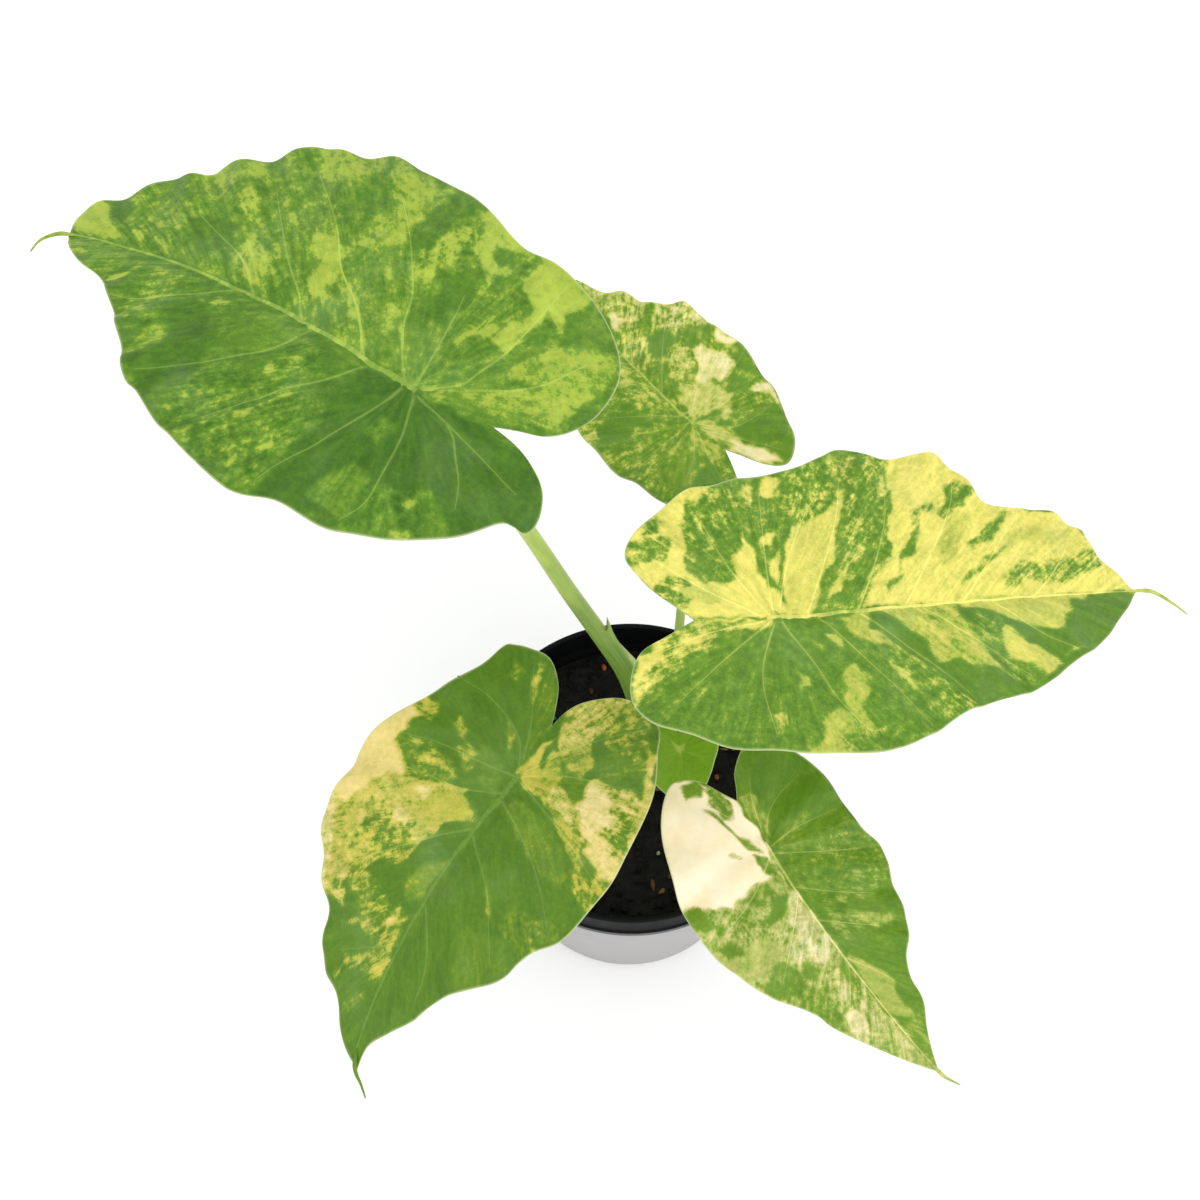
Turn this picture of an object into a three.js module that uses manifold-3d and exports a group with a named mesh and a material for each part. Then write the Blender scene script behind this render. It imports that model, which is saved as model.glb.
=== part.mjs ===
// A potted elephant-ear plant (Alocasia odora, variegated form).
// Six heart-shaped leaves on arching stalks grow from one short trunk, which stands in
// potting mix in a round tapered nursery pot.
// Millimetres, +Z up. The origin is the centre of the pot's underside and -Y is the front.
import * as THREE from "three";
import { mergeVertices } from "three/addons/utils/BufferGeometryUtils.js";
import Module from "manifold-3d";

const wasm = await Module();
wasm.setup();

// Driving dimensions
const rimRadius = 80;
const potHeight = 140;
const baseRadius = 62.9;
const rimBandHeight = 20;
const potWall = 1.8;
const potFloor = 2.2;
const soilDepthBelowRim = 25;
const gap = 0.3;
const bladeThickness = 0.8;
const smallestDetail = 0.002;
const drainHoleCount = 8;
const drainHoleRadius = 4;
const drainHoleCircle = 48;

// Sizes that follow from them
const bandBottom = potHeight - rimBandHeight;
const wallTopRadius = rimRadius - 2.4;
const innerTopRadius = wallTopRadius - potWall;
const innerBaseRadius = baseRadius - potWall;
const soilTop = potHeight - soilDepthBelowRim;

// Trunk
const trunkX = 15;
const trunkY = 13.5;
const trunkRadius = 16.5;
const trunkBottom = 88;
const sheathFacing = new THREE.Vector3(1, 0.1, 0);

// How finely the curved pieces are split
const potSegments = 56;
const soilSegments = 40;
const trunkSegments = 20;
const stalkSides = 8;
const stalkRings = 14;
const sheathedSides = 12;
const sheathedRings = 28;
const bladeRings = [0.32, 0.62, 0.85, 1];

// Leaves
// hub: where the stalk meets the blade. heading: compass turn of the midrib from +X, degrees.
// pitch: how far the midrib points down at the hub, degrees. bend: how fast that grows towards
// the tip, and lobeBend behind the hub, radians a millimetre. fold: the V along the midrib.
// droop: how the sides fall away. sweep: sideways curve of the midrib. wave: height of the
// waves along the edge. veinStep: space between side veins along the midrib.
// left and right: the edge from the notch to the tip as [along, across] from the hub,
// across being positive to the left as seen from above looking to the tip.
// stalk: route from the trunk to the blade. thick: its diameter along the way.
const leaves = [
  {
    hub: [-90, 51, 430], heading: 143, pitch: -4, bend: 0.0026, lobeBend: 0.003,
    fold: 0.12, droop: 0.12, sweep: 0.00054, wave: 2, veinStep: 26, spokes: 68,
    left: [
      [-36, -7], [-46, -7], [-56, -5], [-67, 1], [-73, 11], [-73, 19], [-67, 20], [-62, 23], [-54, 38],
      [-45, 47], [-24, 62], [-12, 68], [8, 69], [22, 76], [32, 77], [50, 73], [61, 71],
      [74, 67], [89, 60], [97, 57], [111, 43], [132, 26], [143, 19], [154, 16], [168, 9],
    ],
    right: [
      [-44, -12], [-54, -18], [-61, -28], [-64, -40], [-61, -56], [-50, -69], [-34, -77],
      [-10, -81], [7, -80], [28, -85], [46, -87], [62, -88], [82, -85], [90, -79],
      [108, -78], [113, -71], [126, -58], [137, -54], [140, -44], [156, -39], [163, -27],
      [177, -20], [181, -10],
    ],
    tip: [179, 0],
    tail: [[172, 0], [182, 2], [187, 7], [186, 14]],
    stalk: [
      [8, 19, 122], [7, 21, 150], [3, 23.8, 176], [-5.3, 25.7, 208], [-17.5, 28.7, 247],
      [-29.8, 32.3, 281], [-47.5, 36.9, 335], [-68.6, 43.6, 388], [-88, 50, 424],
    ],
    thick: [12, 12, 11.4, 10.4, 9, 8.3, 7.5, 6.6, 5.6],
    sheath: true,
  },
  {
    hub: [25.4, 96.7, 320], heading: 127.1, pitch: 5, bend: 0.003, lobeBend: 0.003,
    fold: 0.1, droop: 0.1, sweep: -0.00017, wave: 2, veinStep: 20, spokes: 56,
    left: [
      [-20, -3], [-30, 0], [-42, 5], [-48, 12], [-46, 20], [-40, 27], [-34, 31], [-26, 34],
      [-13, 39], [6, 43], [28, 42], [46, 38], [65, 32], [90, 21], [113, 9],
    ],
    right: [
      [-27, -7], [-36, -12], [-42, -20], [-39, -27], [-30, -33], [-11, -39], [8, -42],
      [25, -44], [37, -40], [46, -41], [60, -37], [67, -27], [80, -24], [94, -15], [110, -12],
    ],
    tip: [129, 0],
    tail: [[123, 0], [131, 0], [138, 3], [143, 7]],
    stalk: [
      [19, 22, 122], [20.4, 27, 170], [21.7, 35, 235], [24.4, 62, 290], [25.4, 86, 312],
      [25.8, 94.5, 317.5],
    ],
    thick: [9, 6.6, 4.4, 4.1, 4, 3.8],
  },
  {
    hub: [53.3, -27.6, 385], heading: 10.2, pitch: 8, bend: 0.0025, lobeBend: 0.003,
    fold: 0.1, droop: 0.1, sweep: 0.00037, wave: 2, veinStep: 26, spokes: 68,
    left: [
      [-43, 15], [-50, 25], [-54, 34], [-49, 43], [-38, 52], [-25, 60], [-14, 60], [-1, 64],
      [19, 64], [35, 70], [44, 74], [53, 73], [61, 67], [77, 69], [90, 67], [97, 60],
      [103, 49], [115, 40], [128, 41], [143, 36], [154, 30], [156, 22], [170, 7],
    ],
    right: [
      [-32, 3], [-44, -2], [-55, -7], [-61, -17], [-62, -28], [-55, -39], [-40, -46],
      [-21, -55], [2, -58], [24, -62], [40, -60], [54, -57], [66, -51], [83, -46],
      [96, -45], [113, -40], [131, -31], [146, -25], [165, -12],
    ],
    tip: [181, 0],
    tail: [[174, 0], [189, -1], [202, -7], [210, -12]],
    stalk: [
      [24, 11, 122], [27.5, 18.5, 165], [33, 21, 220], [44, 5, 320], [51.5, -18, 369],
      [53.3, -25, 381.5],
    ],
    thick: [11, 9.5, 8, 6.8, 5.8, 5.2],
  },
  {
    hub: [-50.8, -64, 300], heading: -134.9, pitch: 12, bend: 0.003, lobeBend: 0.003,
    fold: 0.1, droop: 0.1, sweep: 0.00136, wave: 2, veinStep: 24, spokes: 64,
    left: [
      [-26, -5], [-35, -5], [-44, -2], [-55, 7], [-59, 18], [-57, 29], [-48, 37], [-37, 46],
      [-20, 54], [-6, 58], [7, 61], [22, 62], [36, 60], [47, 54], [56, 50], [66, 48],
      [78, 38], [89, 29], [104, 22], [117, 13], [129, 5],
    ],
    right: [
      [-34, -10], [-42, -17], [-47, -27], [-44, -36], [-41, -42], [-37, -46], [-20, -48],
      [5, -56], [27, -62], [39, -62], [47, -60], [64, -61], [80, -52], [90, -44], [100, -35],
      [112, -32], [118, -27], [121, -18], [131, -11], [137, -4],
    ],
    tip: [141, 3],
    tail: [[133, 0], [140, 3], [143, 8], [146, 12]],
    stalk: [
      [6, 7, 122], [1, 1, 152], [-9, -11, 190], [-28, -34, 250], [-44, -54, 285],
      [-49.4, -61.5, 296],
    ],
    thick: [10, 8.5, 7.2, 6.2, 5.6, 5],
  },
  {
    hub: [58.9, -78.5, 250], heading: -56.2, pitch: 12, bend: 0.003, lobeBend: 0.003,
    fold: 0.1, droop: 0.1, sweep: 0.00091, wave: 1.5, veinStep: 20, spokes: 56,
    left: [
      [-30, 3], [-37, 7], [-44, 17], [-42, 25], [-35, 31], [-22, 38], [0, 40], [14, 40],
      [26, 43], [38, 39], [48, 36], [61, 32], [71, 24], [81, 18], [93, 16], [109, 7],
    ],
    right: [
      [-25, 0], [-32, -4], [-42, -10], [-47, -19], [-43, -27], [-34, -35], [-21, -41],
      [-3, -47], [11, -49], [25, -48], [37, -45], [55, -38], [65, -31], [74, -26],
      [82, -24], [100, -15], [115, -7],
    ],
    tip: [127, 0],
    tail: [[121, 0], [128, 0], [132, 1], [137, 3]],
    stalk: [
      [21, 4, 121], [27, -4, 131], [34, -15, 148], [46, -42, 195], [56, -68, 235],
      [58.6, -76.5, 246.5],
    ],
    thick: [9, 8, 7, 5.8, 5, 4.4],
  },
  {
    hub: [23.2, -4.3, 178], heading: -84, pitch: 15, bend: 0.016, lobeBend: 0.012,
    fold: 0.1, droop: 0.2, sweep: 0, wave: 0.6, veinStep: 10, spokes: 40,
    left: [[-8, 0], [-14, 4], [-16, 10], [-11, 16], [-1, 19], [8, 16], [15, 13], [24, 8]],
    right: [[-13, -5], [-15, -11], [-9, -17], [1, -19], [10, -18], [17, -15], [25, -8]],
    tip: [34, 0],
    tail: [[30, 0], [34, 0], [37, 1], [39, 2]],
    stalk: [[15, 3.5, 124], [16.5, 1.5, 145], [20.5, -1.5, 165], [22.6, -3.4, 174]],
    thick: [7, 5.6, 4.4, 3.6],
  },
];

// Colours of the pieces
const potGrey = 0xb9b6b7;
const soilBlack = 0x1c1713;
const stalkGreen = 0x8fb350;
const bladeGreens = [0x4f8a2c, 0x6f9434, 0x93a338, 0x6b8f33, 0x7d9c3f, 0x549a1e];

// A closed geometry as a manifold solid, and back
function solidOf(geometry) {
  const bare = new THREE.BufferGeometry();
  bare.setAttribute("position", geometry.getAttribute("position"));
  if (geometry.index) bare.setIndex(geometry.index);
  const merged = mergeVertices(bare, 1e-3);
  return new wasm.Manifold(
    new wasm.Mesh({
      numProp: 3,
      vertProperties: merged.attributes.position.array,
      triVerts: new Uint32Array(merged.index.array),
    }),
  );
}

function geometryOf(solid) {
  const mesh = solid.simplify(smallestDetail).getMesh();
  const geometry = new THREE.BufferGeometry();
  geometry.setAttribute("position", new THREE.BufferAttribute(mesh.vertProperties, 3));
  geometry.setIndex(new THREE.BufferAttribute(mesh.triVerts, 1));
  return geometry;
}

// A solid turned about the Z axis from a profile of [radius, height] pairs
function turned(profile, segments) {
  const points = profile.map(([radius, height]) => new THREE.Vector2(radius, height));
  return new THREE.LatheGeometry(points, segments).rotateX(Math.PI / 2);
}

function upright(radius, length, sides) {
  return new THREE.CylinderGeometry(radius, radius, length, sides).rotateX(Math.PI / 2);
}

function smooth(x) {
  const t = Math.min(Math.max(x, 0), 1);
  return t * t * (3 - 2 * t);
}

// Pot: thin tapered wall, a deeper band round the top with a lip under it, drain holes
function makePot() {
  const profile = [
    [0, 0],
    [baseRadius - 1.5, 0],
    [baseRadius, 1.5],
    [wallTopRadius, bandBottom],
    [rimRadius + 1.2, bandBottom],
    [rimRadius + 1.2, bandBottom + 2],
    [rimRadius - 0.4, bandBottom + 2.6],
    [rimRadius, potHeight - 1],
    [rimRadius - 0.8, potHeight],
    [rimRadius - 2.4, potHeight],
    [rimRadius - 3, potHeight - 1],
    [rimRadius - 2.8, bandBottom + 1],
    [innerTopRadius, bandBottom - 2],
    [innerBaseRadius, potFloor],
    [0, potFloor],
  ];
  let pot = solidOf(turned(profile, potSegments));
  for (let i = 0; i < drainHoleCount; i += 1) {
    const turn = ((i + 0.5) / drainHoleCount) * 2 * Math.PI;
    const hole = upright(drainHoleRadius, potFloor * 4, 14);
    hole.translate(drainHoleCircle * Math.cos(turn), drainHoleCircle * Math.sin(turn), 0);
    pot = pot.subtract(solidOf(hole));
  }
  return geometryOf(pot);
}

// Potting mix: fills the pot to its level, with an uneven top and a plain hole for the trunk
function soilBump(x, y) {
  const broad = 1.1 * Math.sin(x / 11 + 1) * Math.cos(y / 9 - 0.6);
  const fine = 0.7 * Math.sin((x + y) / 5.2) * Math.sin((x - 1.3 * y) / 6.1 + 2);
  return broad + fine;
}

function soilEdgeRadius(height) {
  const share = (height - potFloor) / (bandBottom - 2 - potFloor);
  return innerBaseRadius + (innerTopRadius - innerBaseRadius) * share - gap;
}

function makeSoil() {
  const bottom = potFloor + gap;
  const edge = soilEdgeRadius(soilTop);
  const profile = [[0, bottom], [soilEdgeRadius(bottom), bottom], [edge, soilTop]];
  const topRings = 8;
  for (let i = topRings - 1; i >= 0; i -= 1) profile.push([(edge * i) / topRings, soilTop]);
  const body = turned(profile, soilSegments);
  const place = body.getAttribute("position");
  for (let i = 0; i < place.count; i += 1) {
    const x = place.getX(i);
    const y = place.getY(i);
    const inside = smooth((edge - Math.hypot(x, y)) / 12);
    if (place.getZ(i) > soilTop - 0.01) place.setZ(i, soilTop + inside * soilBump(x, y));
  }
  const holeTop = soilTop + 10;
  const holeBottom = trunkBottom - gap;
  const hole = upright(trunkRadius + 2 * gap, holeTop - holeBottom, trunkSegments);
  hole.translate(trunkX, trunkY, (holeTop + holeBottom) / 2);
  return geometryOf(solidOf(body).subtract(solidOf(hole)));
}

// Trunk: a short stout stem with a rounded top. A grown copy clears room around it.
function trunkSolid(grow) {
  const profile = [
    [0, trunkBottom - grow],
    [trunkRadius - 4 + grow, trunkBottom - grow],
    [trunkRadius - 0.5 + grow, trunkBottom + 9],
    [trunkRadius + grow, soilTop],
    [trunkRadius + grow, soilTop + 11],
    [trunkRadius - 1.5 + grow, soilTop + 18],
    [trunkRadius - 4.5 + grow, soilTop + 24],
    [trunkRadius - 9.5 + grow, soilTop + 29],
    [0, soilTop + 31 + grow],
  ];
  return solidOf(turned(profile, trunkSegments).translate(trunkX, trunkY, 0));
}

// The point moved along a direction onto a plane
function slideTo(plane, point, direction) {
  const share = -plane.distanceToPoint(point) / plane.normal.dot(direction);
  return point.clone().addScaledVector(direction, share);
}

// A round stalk that changes thickness along a smooth route. The last ring is sheared to
// lie flat in the plane of end, where one is given, and one line of points stands out as
// the sheath's edge.
function taperedTube(route, diameters, sides, rings, end, sheath) {
  const curve = new THREE.CatmullRomCurve3(
    route.map((p) => new THREE.Vector3(...p)), false, "centripetal",
  );
  const frames = curve.computeFrenetFrames(rings, false);
  const facing = (k) => {
    const turn = (k / sides) * 2 * Math.PI;
    const across = frames.normals[0].clone().multiplyScalar(Math.cos(turn));
    return across.addScaledVector(frames.binormals[0], Math.sin(turn)).dot(sheathFacing);
  };
  const sideNumbers = [...Array(sides).keys()];
  const sheathSide = sideNumbers.reduce((best, k) => (facing(k) > facing(best) ? k : best));
  const positions = [];
  const centres = [];
  for (let i = 0; i <= rings; i += 1) {
    const share = i / rings;
    const centre = curve.getPointAt(share);
    const place = curve.getUtoTmapping(share) * (diameters.length - 1);
    const low = Math.min(Math.floor(place), diameters.length - 2);
    const blend = place - low;
    const radius = (diameters[low] * (1 - blend) + diameters[low + 1] * blend) / 2;
    centres.push(centre);
    for (let k = 0; k < sides; k += 1) {
      const turn = (k / sides) * 2 * Math.PI;
      const outward = frames.normals[i].clone().multiplyScalar(Math.cos(turn));
      outward.addScaledVector(frames.binormals[i], Math.sin(turn));
      const edge = sheath && k === sheathSide ? sheath(centre.z) : { out: 0, up: 0 };
      const point = centre.clone().addScaledVector(outward, radius + edge.out);
      point.addScaledVector(frames.tangents[i], edge.up);
      if (i === rings && end) point.copy(slideTo(end, point, frames.tangents[i]));
      positions.push(point.x, point.y, point.z);
    }
  }
  const lastCentre = centres[rings];
  const capCentre = end ? slideTo(end, lastCentre, frames.tangents[rings]) : lastCentre;
  positions.push(...centres[0].toArray(), ...capCentre.toArray());
  const startCentre = (rings + 1) * sides;
  const faces = [];
  for (let k = 0; k < sides; k += 1) {
    const next = (k + 1) % sides;
    for (let i = 0; i < rings; i += 1) {
      const a = i * sides + k;
      const b = i * sides + next;
      faces.push(a, b, b + sides, a, b + sides, a + sides);
    }
    faces.push(startCentre, next, k);
    faces.push(startCentre + 1, rings * sides + k, rings * sides + next);
  }
  const geometry = new THREE.BufferGeometry();
  geometry.setAttribute("position", new THREE.Float32BufferAttribute(positions, 3));
  geometry.setIndex(faces);
  return geometry;
}

// Where side veins run: whole numbers lie on veins, ahead of the hub along the midrib and
// fanned round the hub behind it.
function veinPlace(leaf, u, v) {
  const veinAngle = THREE.MathUtils.degToRad(60);
  const fanStep = THREE.MathUtils.degToRad(33);
  const side = Math.abs(v);
  const straightened = u - 0.0016 * side * side;
  const turn = Math.atan2(side, straightened);
  if (turn < veinAngle) return (straightened - side / Math.tan(veinAngle)) / leaf.veinStep;
  return -(turn - veinAngle) / fanStep;
}

// The middle surface of a blade at u along and v across, edge being 0 at the hub and 1 at
// the margin, and the blade's upward normal at the hub
function bladeAxes(leaf) {
  const heading = THREE.MathUtils.degToRad(leaf.heading);
  return {
    ahead: new THREE.Vector3(Math.cos(heading), Math.sin(heading), 0),
    left: new THREE.Vector3(-Math.sin(heading), Math.cos(heading), 0),
    up: new THREE.Vector3(0, 0, 1),
    pitch: THREE.MathUtils.degToRad(leaf.pitch),
  };
}

function bladePoint(leaf, u, v, edge) {
  const { ahead, left, up, pitch } = bladeAxes(leaf);
  const bend = u > 0 ? leaf.bend : leaf.lobeBend;
  const across = v + (u > 0 ? leaf.sweep * u * u : 0);
  const lean = pitch + bend * u;
  const run = (Math.sin(lean) - Math.sin(pitch)) / bend;
  const rise = (Math.cos(lean) - Math.cos(pitch)) / bend;
  const cup = leaf.fold * (Math.hypot(across, 6) - 6) - (leaf.droop * across * across) / 70;
  const ripple = leaf.wave * Math.cos(2 * Math.PI * (veinPlace(leaf, u, v) + 0.5));
  const lift = cup + ripple * edge ** 3 * smooth((Math.abs(v) - 4) / 30);
  return new THREE.Vector3(...leaf.hub)
    .addScaledVector(ahead, run + lift * Math.sin(lean))
    .addScaledVector(up, rise + lift * Math.cos(lean))
    .addScaledVector(left, across);
}

function hubNormal(leaf) {
  const { ahead, up, pitch } = bladeAxes(leaf);
  return up.multiplyScalar(Math.cos(pitch)).addScaledVector(ahead, Math.sin(pitch));
}

// The edge as points evenly spaced along it: down the left side from notch to tip, then
// back up the right side to the notch
function marginPoints(leaf) {
  const notchIsLeft = Math.hypot(...leaf.left[0]) < Math.hypot(...leaf.right[0]);
  const notch = notchIsLeft ? leaf.left[0] : leaf.right[0];
  const left = notchIsLeft ? leaf.left : [notch, ...leaf.left];
  const right = notchIsLeft ? [notch, ...leaf.right] : leaf.right;
  const half = leaf.spokes / 2;
  const side = (list) =>
    new THREE.SplineCurve([...list, leaf.tip].map(([u, v]) => new THREE.Vector2(u, v)));
  const leftSide = side(left).getSpacedPoints(half);
  const rightSide = side(right).getSpacedPoints(half);
  return [...leftSide, ...rightSide.reverse().slice(1, -1)];
}

// A blade: spokes from the hub to the edge, the same triangles on both faces
function makeBlade(leaf) {
  const margin = marginPoints(leaf);
  const spokes = margin.length;
  const middle = [bladePoint(leaf, 0, 0, 0)];
  for (const share of bladeRings) {
    for (const { x, y } of margin) middle.push(bladePoint(leaf, x * share, y * share, share));
  }
  const faces = [];
  for (let k = 0; k < spokes; k += 1) {
    const next = (k + 1) % spokes;
    faces.push([0, 1 + next, 1 + k]);
    for (let ring = 0; ring < bladeRings.length - 1; ring += 1) {
      const a = 1 + ring * spokes + k;
      const b = 1 + ring * spokes + next;
      faces.push([a, b, b + spokes], [a, b + spokes, a + spokes]);
    }
  }
  const sheet = new THREE.BufferGeometry().setFromPoints(middle);
  sheet.setIndex(faces.flat());
  sheet.computeVertexNormals();
  const normals = sheet.getAttribute("normal");
  const count = middle.length;
  const both = [];
  for (const sign of [0.5, -0.5]) {
    for (let i = 0; i < count; i += 1) {
      const normal = new THREE.Vector3().fromBufferAttribute(normals, i);
      both.push(middle[i].clone().addScaledVector(normal, sign * bladeThickness));
    }
  }
  const lastRing = 1 + (bladeRings.length - 1) * spokes;
  const closed = [...faces, ...faces.map(([a, b, c]) => [c + count, b + count, a + count])];
  for (let k = 0; k < spokes; k += 1) {
    const a = lastRing + k;
    const b = lastRing + ((k + 1) % spokes);
    closed.push([a, b, b + count], [a, b + count, a + count]);
  }
  const blade = new THREE.BufferGeometry().setFromPoints(both);
  blade.setIndex(closed.flat());
  const tailRoute = leaf.tail.map(([u, v]) => bladePoint(leaf, u, v, 0).toArray());
  const tail = taperedTube(tailRoute, [1.2, 1.1, 0.9, 0.7], 6, 8);
  return geometryOf(solidOf(blade).add(solidOf(tail)));
}

// The thin free edge of the oldest stalk's sheath: how far it stands out at a height, and
// how far its small pointed end rises past the place where it leaves the stalk
function sheathEdge(height) {
  const reach = [[130, 3], [160, 5], [185, 5.4], [205, 4.4], [220, 2.8], [231, 2.2]];
  const last = reach[reach.length - 1];
  if (height > last[0]) return { out: 0, up: 0 };
  const above = reach.findIndex(([level]) => level >= height);
  const [lowLevel, lowOut] = reach[Math.max(above - 1, 0)];
  const [highLevel, highOut] = reach[above];
  const share = highLevel > lowLevel ? (height - lowLevel) / (highLevel - lowLevel) : 0;
  const up = height > last[0] - 12 ? 10 : 0;
  return { out: lowOut + (highOut - lowOut) * Math.max(share, 0), up };
}

function makeStalk(leaf, clearance) {
  const normal = hubNormal(leaf);
  const top = new THREE.Vector3(...leaf.hub);
  top.addScaledVector(normal, -(bladeThickness / 2 + gap));
  const end = new THREE.Plane().setFromNormalAndCoplanarPoint(normal, top);
  const route = [...leaf.stalk, top.toArray()];
  const diameters = [...leaf.thick, leaf.thick[leaf.thick.length - 1]];
  const sides = leaf.sheath ? sheathedSides : stalkSides;
  const rings = leaf.sheath ? sheathedRings : stalkRings;
  const sheath = leaf.sheath ? sheathEdge : null;
  const stalk = taperedTube(route, diameters, sides, rings, end, sheath);
  return geometryOf(solidOf(stalk).subtract(clearance));
}

function addPiece(group, name, geometry, color, roughness) {
  const material = new THREE.MeshStandardMaterial({ color, roughness, metalness: 0 });
  geometry.computeVertexNormals();
  const mesh = new THREE.Mesh(geometry, material);
  mesh.name = name;
  group.add(mesh);
}

const plant = new THREE.Group();
plant.name = "potted_alocasia";
addPiece(plant, "pot", makePot(), potGrey, 0.55);
addPiece(plant, "soil", makeSoil(), soilBlack, 0.95);
addPiece(plant, "trunk", geometryOf(trunkSolid(0)), stalkGreen, 0.6);
const clearance = trunkSolid(gap);
leaves.forEach((leaf, i) => {
  addPiece(plant, `stalk_${i + 1}`, makeStalk(leaf, clearance), stalkGreen, 0.45);
  addPiece(plant, `leaf_${i + 1}`, makeBlade(leaf), bladeGreens[i], 0.4);
});

export default plant;
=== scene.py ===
import math
from dataclasses import dataclass

import bmesh
import bpy
import numpy as np
from bpy.props import FloatProperty, FloatVectorProperty, IntProperty, PointerProperty
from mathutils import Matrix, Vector


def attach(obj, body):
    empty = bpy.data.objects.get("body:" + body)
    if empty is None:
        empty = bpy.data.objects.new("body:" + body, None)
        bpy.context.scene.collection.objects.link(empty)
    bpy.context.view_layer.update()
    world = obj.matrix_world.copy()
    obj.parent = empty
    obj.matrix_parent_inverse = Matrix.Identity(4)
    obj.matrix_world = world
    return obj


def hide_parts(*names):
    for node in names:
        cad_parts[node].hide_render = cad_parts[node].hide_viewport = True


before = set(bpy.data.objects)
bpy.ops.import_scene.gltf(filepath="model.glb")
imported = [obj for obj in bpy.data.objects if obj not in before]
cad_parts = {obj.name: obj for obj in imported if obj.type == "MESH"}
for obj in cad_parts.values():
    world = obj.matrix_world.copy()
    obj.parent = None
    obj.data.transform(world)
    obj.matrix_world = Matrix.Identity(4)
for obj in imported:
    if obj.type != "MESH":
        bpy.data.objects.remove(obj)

bl_info = {
    "name": "Potted elephant-ear plant",
    "version": (1, 0, 0),
    "blender": (4, 5, 0),
    "location": "3D view > Sidebar > Plant",
    "description": "Builds a variegated elephant-ear plant in a round nursery pot",
    "category": "Object",
}

# Lengths are in millimetres until a mesh is made. The origin is the centre of the pot's
# underside, +Z is up and -Y is the front.
MM = 0.001
BODY = "root"


def tint(red, green, blue):
    """A screen colour, 0 to 255, as the linear values that a shader takes."""
    level = np.array([red, green, blue]) / 255
    linear = np.where(level <= 0.04045, level / 12.92, ((level + 0.055) / 1.055) ** 2.4)
    return tuple(float(x) for x in linear)


def streak(start, end, width):
    """The outline of a slim patch from one place to another, widest a little past halfway."""
    (u1, v1), (u2, v2) = start, end
    length = math.hypot(u2 - u1, v2 - v1)
    aside = ((v1 - v2) / length * width / 2, (u2 - u1) / length * width / 2)

    def edge(places):
        return [
            (u1 + (u2 - u1) * share + aside[0] * out, v1 + (v2 - v1) * share + aside[1] * out)
            for share, out in places
        ]

    left = edge([(0.25, 0.75), (0.6, 1), (0.88, 0.6)])
    right = edge([(0.8, -0.7), (0.5, -1), (0.15, -0.6)])
    return [start, *left, end, *right]


# Pot
RIM_RADIUS = 80
POT_HEIGHT = 140
BASE_RADIUS = 62.9
BAND_BOTTOM = 120
POT_WALL = 1.8
POT_FLOOR = 2.2
WALL_TOP_RADIUS = RIM_RADIUS - 2.4
INNER_TOP_RADIUS = WALL_TOP_RADIUS - POT_WALL
INNER_BASE_RADIUS = BASE_RADIUS - POT_WALL
DRAIN_HOLES = 8
DRAIN_HOLE_RADIUS = 4
DRAIN_HOLE_CIRCLE = 48

# Potting mix and trunk
SOIL_TOP = 115
TRUNK_X = 15
TRUNK_Y = 13.5
TRUNK_RADIUS = 16.5
TRUNK_BOTTOM = 88
SHEATH_FACING = np.array([1, 0.1, 0])


@dataclass
class Leaf:
    """A leaf. node is the CAD solid that its blade stands for, and slot, the name of a
    material, is not used. hub is where the stalk meets the blade, heading the compass turn of the
    midrib from +X, pitch how far the midrib points down at the hub, bend how fast that grows
    towards the tip and lobe_bend behind the hub. fold is the V along the midrib, droop how the
    sides fall away, sweep the sideways curve of the midrib, wave the height of the waves along
    the edge and wave_step the distance between them. left and right are the edge from the notch
    to the tip as (along, across) from the hub, across being positive to the left seen from
    above looking to the tip. tail is the thin end past the tip. stalk is the route up from the
    trunk, thick the diameter along it, and sheath says if it has one. tone and speckle are the
    blade's own. patches are (tone, speckle, outline), and a fourth value where the palest tone
    is creamy: tone goes from 0, darkest green, to 3, palest. mottle is how coarse and soft the
    speckles are. veins are the side veins as (along, across) points, from the midrib outwards.
    midrib_tone is how much paler the midrib is than the blade. dark, mid, lime and lemon are
    the colours of the four tones, and vein_light is what a vein adds to them."""

    node: str
    slot: str
    hub: tuple
    heading: float
    pitch: float
    bend: float
    sweep: float
    wave_step: float
    left: list
    right: list
    tip: tuple
    tail: list
    stalk: list
    thick: list
    tone: float
    speckle: float
    patches: list
    veins: list
    midrib_width: float
    dark: tuple
    mid: tuple
    lime: tuple
    lemon: tuple
    vein_light: tuple
    lobe_bend: float = 0.003
    fold: float = 0.1
    droop: float = 0.1
    wave: float = 2
    sheath: bool = False
    mottle: float = 1.0
    midrib_tone: float = 0.0


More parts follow.
